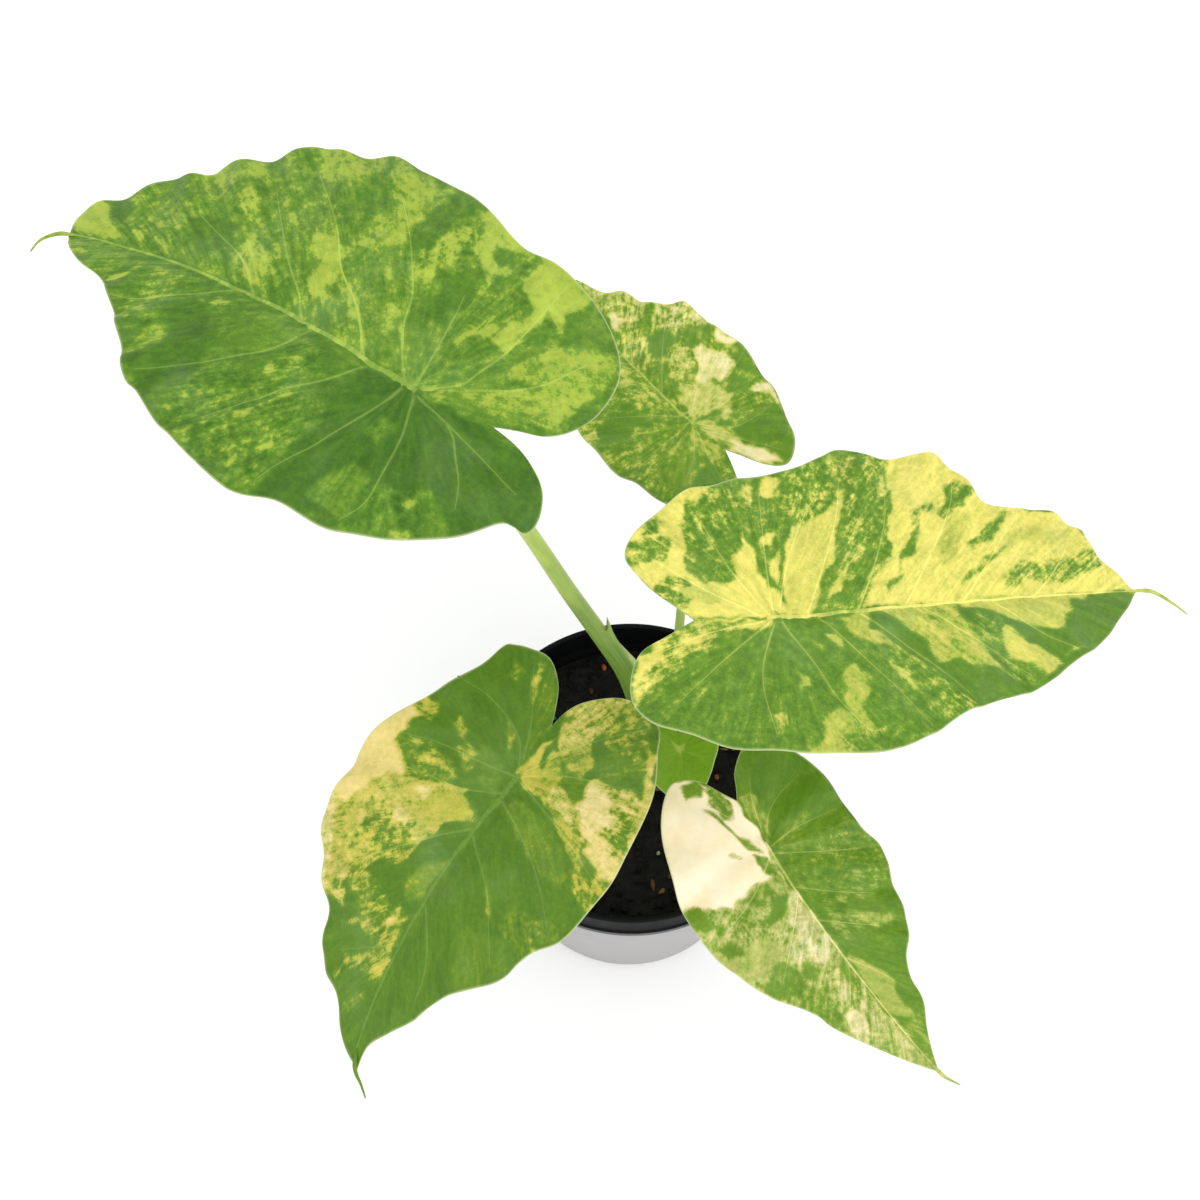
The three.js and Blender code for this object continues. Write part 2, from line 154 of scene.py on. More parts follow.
leaf_1 = Leaf(
    node="leaf_1", slot="green_leaf",
    hub=(-90, 51, 430), heading=143, pitch=-4, bend=0.0026, fold=0.12, droop=0.12, sweep=0.00054,
    wave_step=26,
    left=[
        (-36, -7), (-46, -7), (-56, -5), (-67, 1), (-73, 11), (-73, 19), (-67, 20), (-62, 23),
        (-54, 38), (-45, 47), (-24, 62), (-12, 68), (8, 69), (22, 76), (32, 77), (50, 73),
        (61, 71), (74, 67), (89, 60), (97, 57), (111, 43), (132, 26), (143, 19), (154, 16),
        (168, 9),
    ],
    right=[
        (-44, -12), (-54, -18), (-61, -28), (-64, -40), (-61, -56), (-50, -69), (-34, -77),
        (-10, -81), (7, -80), (28, -85), (46, -87), (62, -88), (82, -85), (90, -79), (108, -78),
        (113, -71), (126, -58), (137, -54), (140, -44), (156, -39), (163, -27), (177, -20),
        (181, -10),
    ],
    tip=(179, 0), tail=[(172, 0), (182, 2), (187, 7), (186, 14)],
    stalk=[
        (8, 19, 122), (6.4, 21, 150), (2.3, 23.8, 176), (-4.7, 25.7, 208), (-17.5, 28.7, 247),
        (-29.8, 32.3, 281), (-47.5, 36.9, 335), (-68.6, 43.6, 388), (-88, 50, 424),
    ],
    thick=[11.2, 11, 10.2, 8.9, 8.4, 8, 7.3, 6.6, 5.6],
    sheath=True,
    tone=0.75, speckle=0.35, mottle=1.2,
    patches=[
        (1.1, 0.42, [(0, 0), (60, -1), (178, -1), (185, -22), (120, -72), (60, -92), (0, -85),
            (-60, -60), (-60, -20), (-20, -4)]),
        (1.1, 0.35, [(180, 2), (165, 14), (142, 22), (138, 10), (140, 0)]),
        (1.9, 0.4, streak((172, 6), (159, 10), 3)),
        (2.1, 0.5, [(140, 22), (139, 18), (134, 14), (130, 8), (131, 15), (134, 20)]),
        (1.1, 0.55, [(122, 32), (122, 2), (104, 2), (106, 14), (104, 28), (112, 36)]),
        (1.9, 0.5, [(119, 27), (118, 22), (114, 24), (114, 28)]),
        (1.7, 0.6, [(118, 20), (117, 14), (112, 15), (113, 19)]),
        (1.45, 0.3, [(106, 46), (104, 30), (97, 29), (94, 38), (97, 47)]),
        (0.3, 0.2, [(101, 52), (96, 40), (94, 30), (100, 22), (106, 20), (96, 12), (88, 18),
            (78, 32), (70, 48), (84, 62)]),
        (1.5, 0.6, [(93, 13), (91, 8), (84, 9), (84, 13)]),
        (1.0, 0.1, [(72, 24), (66, 26), (56, 14), (52, 6), (70, 4)]),
        (0.9, 0.6, [(72, 68), (70, 40), (58, 34), (50, 32), (48, 8), (36, 6), (34, 26), (22, 32),
            (18, 50), (22, 72), (50, 76)]),
        (1.8, 0.6, streak((50, 22), (44, 28), 4)),
        (1.7, 0.6, streak((45, 52), (41, 42), 4)),
        (1.9, 0.5, [(38, 72), (38, 65), (34, 64), (35, 71)]),
        (1.7, 0.6, [(30, 58), (29, 51), (25, 51), (26, 57)]),
        (0.15, 0.15, [(19, 74), (18, 40), (20, 20), (16, 5), (0, 0), (-30, -4), (-60, -8),
            (-76, 16), (-56, 42), (-40, 30), (-18, 40), (-8, 64), (8, 72)]),
        (1.05, 0.35, [(1, 62), (-1, 44), (-6, 38), (-13, 42), (-14, 62)]),
        (0.9, 0.5, [(3, 26), (1, 17), (-5, 18), (-8, 27)]),
        (0.6, 0.45, [(-19, 62), (-20, 38), (-34, 30), (-44, 42), (-40, 56)]),
        (1.6, 0.5, [(-27, 43), (-28, 38), (-34, 37), (-34, 42)]),
        (1.5, 0.5, [(-33, 54), (-34, 48), (-40, 46), (-41, 52)]),
        (2.1, 0.15, [(180, -4), (184, -12), (183, -20), (174, -18), (171, -15), (160, -8),
            (152, -4), (160, -3)]),
        (0.5, 0.15, [(171, -15), (172, -18), (166, -24), (158, -20), (158, -12), (164, -12)]),
        (1.9, 0.7, streak((141, -4), (150, -10), 4)),
        (1.8, 0.7, streak((138, -12), (147, -16), 4)),
        (1.8, 0.6, streak((130, -13), (137, -18), 3)),
        (1.5, 0.4, [(162, -20), (162, -26), (152, -27), (150, -22)]),
        (1.6, 0.2, [(139, -44), (139, -54), (130, -56), (122, -58), (112, -52), (128, -46)]),
        (1.9, 0.8, streak((106, -29), (120, -43), 7)),
        (0.5, 0.2, [(130, -22), (124, -26), (112, -26), (104, -18), (112, -10), (124, -10)]),
        (1.95, 0.6, [(79, -3), (84, -4), (90, -9), (95, -13), (100, -20), (98, -24), (93, -22),
            (90, -19), (84, -19), (81, -15), (83, -10)]),
        (1.9, 0.4, streak((87, -37), (92, -44), 2.5)),
        (1.6, 0.3, [(112, -72), (104, -74), (92, -62), (84, -62), (78, -70), (78, -88),
            (100, -82)]),
        (2.0, 0.35, [(51, -11), (59, -12), (64, -20), (69, -27), (73, -34), (75, -39), (69, -43),
            (61, -38), (58, -31), (55, -25), (53, -17)]),
        (1.75, 0.4, streak((24, -1), (56, -28), 5)),
        (1.9, 0.5, streak((30, -1), (40, -6), 2.5)),
        (1.9, 0.4, [(20, -12), (23, -12), (26, -18), (31, -23), (32, -27), (26, -27), (22, -22)]),
        (1.6, 0.3, [(58, -40), (62, -52), (60, -70), (72, -76), (72, -88), (54, -88), (46, -70),
            (46, -50)]),
        (0.8, 0.3, [(76, -50), (76, -82), (64, -70), (62, -54)]),
        (0.65, 0.3, [(45, -52), (46, -70), (40, -88), (28, -86), (32, -70), (34, -56),
            (40, -48)]),
        (1.7, 0.7, [(34, -42), (34, -56), (30, -72), (20, -72), (22, -56), (24, -44)]),
        (0.6, 0.25, [(19, -24), (18, -40), (16, -54), (8, -60), (6, -44), (9, -28)]),
        (1.9, 0.4, [(20, -62), (20, -72), (26, -80), (26, -88), (0, -84), (0, -62), (8, -60),
            (14, -62)]),
        (0.8, 0.3, [(13, -66), (12, -72), (2, -76), (1, -66), (6, -64)]),
        (1.0, 0.5, [(0, -4), (4, -24), (6, -56), (-4, -58), (-12, -54), (-16, -36), (-16, -16),
            (-6, -6)]),
        (1.9, 0.4, [(-1, -24), (-2, -36), (-6, -42), (-5, -34), (-5, -25)]),
        (0.9, 0.4, [(-8, -27), (-10, -33), (-18, -34), (-17, -27), (-12, -24)]),
        (1.95, 0.3, [(-5, -34), (-10, -42), (-16, -50), (-14, -60), (-21, -62), (-20, -36),
            (-14, -34)]),
        (2.1, 0.3, [(-5, -70), (-8, -62), (-15, -60), (-22, -60), (-33, -57), (-33, -61),
            (-27, -63), (-31, -72), (-30, -84), (-4, -84)]),
        (1.7, 0.5, [(-4, -3), (-16, -7), (-30, -13), (-44, -20), (-58, -30), (-54, -42),
            (-36, -26), (-20, -12), (-8, -5)]),
        (1.1, 0.2, [(-21, -20), (-22, -36), (-26, -54), (-31, -56), (-29, -38), (-25, -24)]),
        (1.7, 0.35, [(-25, -24), (-29, -38), (-32, -52), (-40, -60), (-54, -62), (-62, -44),
            (-50, -34), (-38, -30)]),
        (0.9, 0.2, [(-31, -55), (-30, -66), (-36, -76), (-48, -68), (-44, -58)]),
        (1.3, 0.3, [(-44, -44), (-46, -52), (-54, -54), (-54, -46)]),
        (0.8, 0.3, [(-57, -30), (-59, -46), (-60, -56), (-66, -52), (-66, -34)]),
    ],
    veins=[
        [(88, 0), (94, 7), (104, 14), (120, 23), (130, 26)],
        [(49, 0), (51, 10), (56, 20), (66, 30), (76, 39), (95, 53)],
        [(20, 2), (25, 12), (30, 20), (38, 30), (44, 40), (58, 60)],
        [(2, 2), (5, 16), (9, 30), (13, 44), (18, 56), (21, 68)],
        [(-3, 2), (-9, 14), (-12, 22), (-15, 35), (-18, 50), (-15, 62)],
        [(-20, 3), (-26, 6), (-33, 13), (-40, 20), (-46, 30)],
        [(-4, 1), (-20, 3), (-40, 6), (-60, 9)],
        [(79, 0), (88, -8), (98, -14), (112, -19), (130, -26)],
        [(55, 0), (63, -9), (76, -19), (92, -34), (108, -50)],
        [(24, 0), (30, -7), (42, -18), (56, -27), (68, -40), (79, -50), (100, -66)],
        [(3, -1), (12, -10), (20, -21), (26, -34), (43, -54), (61, -71)],
        [(-1, -1), (2, -18), (6, -36), (9, -46)],
        [(-3, -2), (-14.5, -13), (-17, -22), (-20, -36), (-20.5, -59), (-20, -77)],
        [(-17, -12), (-22, -16), (-33, -25), (-41, -36), (-48, -54)],
    ],
    midrib_width=4.6, midrib_tone=0.5,
    dark=tint(44, 88, 6), mid=tint(94, 136, 33), lime=tint(151, 173, 58),
    lemon=tint(178, 194, 76), vein_light=tint(80, 92, 44),
)

leaf_2 = Leaf(
    node="leaf_2", slot="mottled_leaf",
    hub=(25.4, 96.7, 320), heading=127.1, pitch=5, bend=0.003, sweep=-0.00017, wave_step=20,
    left=[
        (-20, -3), (-30, 0), (-42, 5), (-48, 12), (-46, 20), (-40, 27), (-34, 31), (-26, 34),
        (-13, 39), (6, 43), (28, 42), (46, 38), (65, 32), (90, 21), (113, 9),
    ],
    right=[
        (-27, -7), (-36, -12), (-42, -20), (-39, -27), (-30, -33), (-11, -39), (8, -42),
        (25, -44), (37, -40), (46, -41), (60, -37), (67, -27), (80, -24), (94, -15), (110, -12),
    ],
    tip=(129, 0), tail=[(123, 0), (131, 0), (138, 3), (143, 7)],
    stalk=[
        (19, 22, 122), (20.4, 27, 170), (21.7, 35, 235), (24.4, 62, 290), (25.4, 86, 312),
        (25.8, 94.5, 317.5),
    ],
    thick=[9, 6.6, 4.4, 4.1, 4, 3.8],
    tone=1.15, speckle=0.75, mottle=1.12,
    patches=[
        (2.0, 0.7, [(31, 43), (30, 34), (18, 38), (16, 43)]),
        (0.5, 0.25, [(26, 24), (24, 34), (18, 39), (12, 38), (12, 26), (14, 14), (20, 16)]),
        (1.6, 0.9, [(31, 12), (30, 3), (14, 3), (16, 12)]),
        (2.0, 0.4, [(40, 14), (38, 6), (33, 6), (34, 14)]),
        (1.9, 0.4, [(47, 8), (46, 1), (40, 1), (40, 8)]),
        (1.3, 0.8, [(-2, 38), (-2, 6), (-11, 6), (-12, 38)]),
        (1.2, 0.12, [(-12, 26), (-14, 14), (-20, 14), (-24, 24), (-20, 29)]),
        (0.55, 0.5, [(-23, 32), (-22, 6), (-34, 4), (-46, 14), (-40, 28)]),
        (1.7, 0.4, [(-2, 5), (-10, 6), (-22, 5), (-20, -1), (-8, -1)]),
        (1.6, 0.5, [(104, -8), (96, -22), (82, -24), (80, -10), (90, -7)], 0.2),
        (2.1, 0.6, [(104, -10), (92, -13), (80, -20), (68, -22), (60, -34), (40, -37), (20, -41),
            (10, -50), (60, -50), (90, -34)], 0.5),
        (2.9, 0.1, [(78, -9), (77, -11.5), (70, -12), (66, -10), (63, -7), (67, -5),
            (72, -7)], 0.6),
        (2.8, 0.2, streak((99, -11), (92, -9), 2), 0.6),
        (1.9, 0.9, [(82, -12), (80, -20), (62, -20), (60, -12), (68, -12)], 0.3),
        (1.9, 0.9, [(66, -26), (62, -38), (46, -42), (44, -32), (50, -24), (58, -22)], 0.5),
        (1.6, 0.9, [(62, -3), (60, -12), (46, -12), (36, -4), (40, -1)]),
        (0.55, 0.25, [(50, -13), (51, -20), (46, -25), (40, -24), (38, -16), (41, -11)]),
        (0.8, 0.5, [(43, -28), (42, -38), (32, -39), (30, -30), (36, -26)]),
        (1.0, 0.5, [(34, -1), (32, -8), (20, -9), (8, -5), (6, -1)]),
        (1.8, 0.8, [(34, -10), (34, -24), (20, -18), (10, -10), (14, -6), (24, -8)], 0.3),
        (2.75, 0.5, [(12, -14), (18, -19), (26, -23), (32, -26), (30, -31), (18, -34), (10, -34),
            (11, -26)], 0.5),
        (2.8, 0.3, [(33, -39), (28, -44), (20, -45), (22, -41)], 0.6),
        (0.8, 0.4, [(20, -35), (18, -41), (10, -43), (2, -41), (6, -35), (12, -34)]),
        (2.1, 0.5, [(16, -4), (14, -14), (10, -22), (0, -22), (-1, -8), (1, -2)], 0.2),
        (0.9, 0.4, [(8, -26), (7, -31), (-2, -32), (-4, -26), (2, -24)]),
        (2.0, 0.6, [(0, -12), (0, -18), (-8, -18), (-8, -12)], 0.2),
        (2.8, 0.4, [(-3, -30), (-8, -33), (-17, -36), (-13, -39), (-5, -39), (0, -36)], 0.6),
        (0.5, 0.4, [(-12, -12), (-14, -24), (-15, -36), (-26, -36), (-34, -26), (-28, -17),
            (-20, -12)]),
        (0.9, 0.15, [(-33, -16), (-32, -30), (-40, -28), (-44, -20), (-38, -16)]),
        (2.1, 0.4, [(-1, -1), (-8, -3), (-18, -6), (-20, -10), (-10, -8), (-3, -4)], 0.2),
        (2.9, 0.1, [(-17, -6), (-20, -10), (-28, -14), (-35, -17), (-40, -18), (-34, -12),
            (-26, -8), (-20, -5)], 0.6),
    ],
    veins=[
        [(28, 0), (44, 12), (60, 22)], [(6, 0), (18, 16), (28, 32)], [(1, 1), (-1, 16), (-2, 38)],
        [(-2, 1), (-14, 10), (-24, 24)], [(-3, 0), (-20, 5), (-34, 8)],
        [(45, 0), (60, -10), (80, -22)], [(22, 0), (40, -14), (58, -30)],
        [(3, -1), (14, -14), (28, -27), (42, -38)], [(0, -1), (6, -20), (14, -40)],
        [(-3, -1), (-13, -13), (-15, -28), (-14, -38)], [(-4, -1), (-20, -12), (-36, -23)],
    ],
    midrib_width=2.4, midrib_tone=0.45,
    dark=tint(72, 118, 20), mid=tint(106, 146, 34), lime=tint(170, 182, 68),
    lemon=tint(240, 228, 130), vein_light=tint(84, 90, 50),
)

leaf_3 = Leaf(
    node="leaf_3", slot="yellow_leaf",
    hub=(53.3, -27.6, 385), heading=10.2, pitch=8, bend=0.0025, sweep=0.00037, wave_step=26,
    left=[
        (-43, 15), (-50, 25), (-54, 34), (-49, 43), (-38, 52), (-25, 60), (-14, 60), (-1, 64),
        (19, 64), (35, 70), (44, 74), (53, 73), (61, 67), (77, 69), (90, 67), (97, 60), (103, 49),
        (115, 40), (128, 41), (143, 36), (154, 30), (156, 22), (170, 7),
    ],
    right=[
        (-32, 3), (-44, -2), (-55, -7), (-61, -17), (-62, -28), (-55, -39), (-40, -46),
        (-21, -55), (2, -58), (24, -62), (40, -60), (54, -57), (66, -51), (83, -46), (96, -45),
        (113, -40), (131, -31), (146, -25), (165, -12),
    ],
    tip=(181, 0), tail=[(174, 0), (189, -1), (202, -7), (210, -12)],
    stalk=[
        (24, 11, 122), (27.5, 18.5, 165), (33, 21, 220), (44, 5, 320), (51.5, -18, 369),
        (53.3, -25, 381.5),
    ],
    thick=[11, 9.5, 8, 6.8, 5.8, 5.2],
    tone=0.3, speckle=0.25,
    patches=[
        (1.0, 0.6, [(184, 0), (165, 14), (155, 30), (120, 44), (104, 58), (94, 72), (50, 78),
            (0, 68), (-40, 56), (-60, 40), (-44, 12), (-2, 0)]),
        (2.75, 0.3, [(184, 0), (160, 20), (152, 34), (120, 42), (105, 54), (94, 72), (70, 76),
            (66, 66), (61, 60), (63, 52), (60, 42), (57, 33), (55, 22), (48, 14), (42, 6),
            (38, 1), (60, 0)]),
        (2.25, 0.15, [(150, 31), (140, 30), (128, 31), (118, 29), (108, 21), (112, 20), (120, 23),
            (135, 24), (148, 27)]),
        (1.5, 1.0, [(160, 20), (150, 18), (135, 16), (120, 15), (106, 10), (106, 4), (120, 6),
            (135, 6), (148, 9), (160, 13)]),
        (1.4, 0.7, streak((112, 23), (84, 7), 3.5)),
        (1.1, 0.9, streak((115, 38), (92, 22), 5)),
        (2.2, 0.3, [(98, 38), (92, 28), (84, 16), (78, 14), (78, 24), (85, 36), (93, 41)]),
        (0.95, 0.8, [(100, 50), (96, 56), (91, 53), (86, 48), (81, 40), (84, 37), (92, 42),
            (98, 46)]),
        (1.4, 1.1, streak((83, 47), (67, 35), 4.5)),
        (0.95, 0.7, streak((74, 36), (57, 15), 4.5)),
        (1.1, 0.5, streak((59, 14), (50, 5), 3.4)),
        (1.6, 0.6, streak((116, 40), (100, 53), 3)),
        (1.35, 1.0, [(66, 66), (63, 54), (60, 42), (57, 34), (55, 22), (48, 14), (42, 6), (36, 1),
            (20, 1), (24, 8), (32, 18), (36, 26), (40, 40), (42, 54), (38, 68), (50, 74)]),
        (0.85, 0.75, [(64, 52), (62, 46), (60, 41), (52, 37), (46, 38), (50, 44), (56, 48)]),
        (0.85, 0.75, [(52, 58), (52, 48), (48, 38), (44, 40), (45, 52), (44, 60), (50, 66),
            (54, 64)]),
        (0.85, 0.75, [(56, 32), (56, 24), (50, 20), (42, 10), (34, 4), (20, 1), (24, 8), (34, 16),
            (42, 24), (50, 32)]),
        (2.5, 0.4, streak((37, 19), (22, 4), 3)),
        (2.5, 0.25, [(41, 54), (38, 44), (33, 31), (29, 21), (22, 12), (15, 2), (5, 1), (7, 12),
            (9, 21), (12, 30), (16, 39), (26, 45), (34, 53)]),
        (1.15, 1.1, [(40, 68), (38, 50), (28, 43), (18, 38), (12, 44), (10, 62), (22, 66)]),
        (0.95, 0.9, [(18, 64), (16, 40), (12, 30), (8, 18), (5, 4), (0, 4), (0, 20), (-2, 40),
            (-3, 62)]),
        (2.8, 0.3, [(14, 60), (13, 53), (8, 54), (6, 58), (9, 61)]),
        (2.8, 0.3, [(9, 35), (6, 30), (3, 31), (2, 34), (6, 37)]),
        (2.7, 0.5, [(8, 26), (7, 18), (4, 13), (3, 18), (5, 25)]),
        (2.5, 0.6, [(2, 60), (0, 50), (-3, 54), (-2, 62)]),
        (2.8, 0.3, [(6, 2), (4, 10), (-2, 20), (-3, 32), (-7, 38), (-10, 33), (-16, 28),
            (-22, 16), (-30, 24), (-28, 46), (-24, 58), (-40, 54), (-54, 44), (-58, 28),
            (-46, 10), (-34, 2), (-2, 0)]),
        (1.0, 1.0, [(-4, 62), (-6, 44), (-7, 32), (-12, 28), (-11, 20), (-16, 17), (-22, 18),
            (-26, 24), (-28, 36), (-26, 48), (-26, 56), (-16, 60)]),
        (0.85, 0.6, [(-7, 40), (-8, 32), (-15, 30), (-17, 36), (-13, 40)]),
        (0.85, 0.6, [(-18, 26), (-20, 20), (-26, 22), (-25, 30), (-21, 30)]),
        (2.7, 0.5, [(-14, 60), (-18, 55), (-28, 54), (-32, 58), (-22, 62)]),
        (1.2, 1.1, [(-36, 40), (-38, 31), (-46, 31), (-54, 30), (-56, 38), (-46, 41)]),
        (1.1, 1.0, [(-37, 47), (-42, 42), (-48, 43), (-44, 48), (-38, 50)]),
        (1.3, 1.2, [(-30, 20), (-31, 10), (-38, 8), (-45, 14), (-43, 22), (-36, 22)]),
        (2.3, 0.2, [(-18, 18), (-26, 16), (-36, 18), (-34, 12), (-24, 8), (-16, 10)]),
        (1.2, 0.2, streak((-12, 2.5), (-32, 3), 1.6)),
        (0.6, 0.65, [(66, -30), (60, -64), (20, -66), (-20, -62), (-62, -40), (-64, -16),
            (-40, -2), (0, -2), (30, -2), (52, -18)]),
        (2.1, 0.12, [(150, 0), (148, -2), (138, -3), (138, -8), (133, -11), (130, -15),
            (125, -16.5), (115, -14), (105, -10.5), (96, -7), (88, -3), (80, 0)]),
        (2.3, 0.2, [(124, -32), (116, -26), (110, -21), (104, -16), (97, -13), (96, -21),
            (99, -26), (108, -32), (112, -36), (117, -35)]),
        (1.8, 0.6, [(136, -26), (130, -25.5), (125, -29), (130, -28)]),
        (0.8, 0.75, [(104, -12), (98, -10), (86, -4), (84, -14), (88, -24), (92, -36), (100, -40),
            (110, -38), (104, -30), (98, -24), (94, -16)]),
        (1.9, 0.3, [(88, -27), (90, -32), (98, -37), (90, -34), (84, -31), (74, -27), (64, -25),
            (60, -20), (50, -8), (40, 0), (82, 0), (80, -8), (84, -14), (85, -18)]),
        (2.4, 0.2, [(71, -12), (70, -18), (66, -16), (64, -11)]),
        (1.0, 0.3, [(69, -5), (68, -8), (65, -7.5), (65, -5)]),
        (0.2, 0.2, streak((44, -1), (62, -25), 5.5)),
        (1.95, 0.3, [(58, -31), (57, -26), (50, -22), (44, -12), (40, -8), (40, -1), (27, -2),
            (28, -8), (33, -13), (38, -15), (46, -18), (52, -28)]),
        (1.0, 0.9, [(66, -38), (58, -31), (48, -20), (40, -16), (44, -30), (52, -40)]),
        (2.0, 0.3, streak((55, -42), (44, -27), 3)),
        (1.2, 1.0, [(78, -46), (72, -52), (60, -58), (60, -42), (66, -38), (70, -42)]),
        (2.0, 0.3, [(24, -9), (24, -15), (20, -14), (19, -9)]),
        (1.7, 0.15, [(28, -24), (30, -32), (31, -38), (28, -44), (31, -51), (24, -53), (20, -44),
            (20, -36), (22, -26)]),
        (1.75, 0.15, [(20, -42), (14, -42), (10, -48), (6, -54), (2, -58), (4, -62), (20, -61),
            (24, -54)]),
        (1.2, 0.9, [(34, -50), (30, -56), (16, -58), (14, -53), (22, -52)]),
        (1.9, 0.4, [(9, -27), (8, -32), (4, -31), (5, -26)]),
        (1.7, 0.5, [(-6, -41), (-5, -48), (-9, -49), (-12, -43)]),
        (1.9, 1.0, [(-6, -2), (-14, -5), (-24, -10), (-34, -12), (-46, -18), (-54, -24),
            (-64, -30), (-60, -14), (-50, -2), (-30, 2), (-10, 0)]),
        (2.8, 0.3, [(-29, -4), (-31, -9), (-38, -8), (-38, -4)]),
        (2.8, 0.3, [(-44, -4), (-46, -10), (-54, -14), (-62, -24), (-56, -8)]),
        (1.0, 0.6, [(-12, -3), (-16, -8), (-26, -10), (-24, -3)]),
        (2.5, 0.3, [(1, 0), (-2, -3), (-10, -4.5), (-14, -3), (-12, -1)]),
        (1.6, 0.5, [(-30, -23), (-34, -28), (-40, -32), (-37, -25)]),
    ],
    veins=[
        [(120, 0), (136, 13), (148, 26)], [(84, 0), (100, 16), (116, 34)],
        [(57, 0), (74, 22), (88, 42), (95, 58)], [(36, 0), (48, 20), (58, 42), (62, 62)],
        [(14, 0), (24, 18), (34, 38), (42, 60)], [(2, 1), (11, 24), (20, 40), (32, 56)],
        [(0, 2), (2, 28), (6, 58)], [(-2, 2), (-14, 24), (-22, 50)],
        [(-4, 1), (-26, 16), (-44, 32)], [(98, 0), (116, -16), (132, -26)],
        [(64, 0), (84, -18), (106, -36)], [(36, 0), (54, -20), (72, -38), (78, -46)],
        [(18, 0), (32, -20), (46, -40), (54, -54)], [(2, -1), (12, -22), (18, -38), (29, -54)],
        [(0, -2), (-8, -18), (-11, -32), (-10, -50)],
        [(-2, -2), (-12, -8), (-24, -16), (-38, -26), (-46, -32)],
        [(-4, -1), (-26, -3), (-46, -8)],
    ],
    midrib_width=3.2, midrib_tone=1.1,
    dark=tint(72, 112, 24), mid=tint(104, 144, 38), lime=tint(158, 172, 66),
    lemon=tint(236, 222, 112), vein_light=tint(100, 102, 50),
)

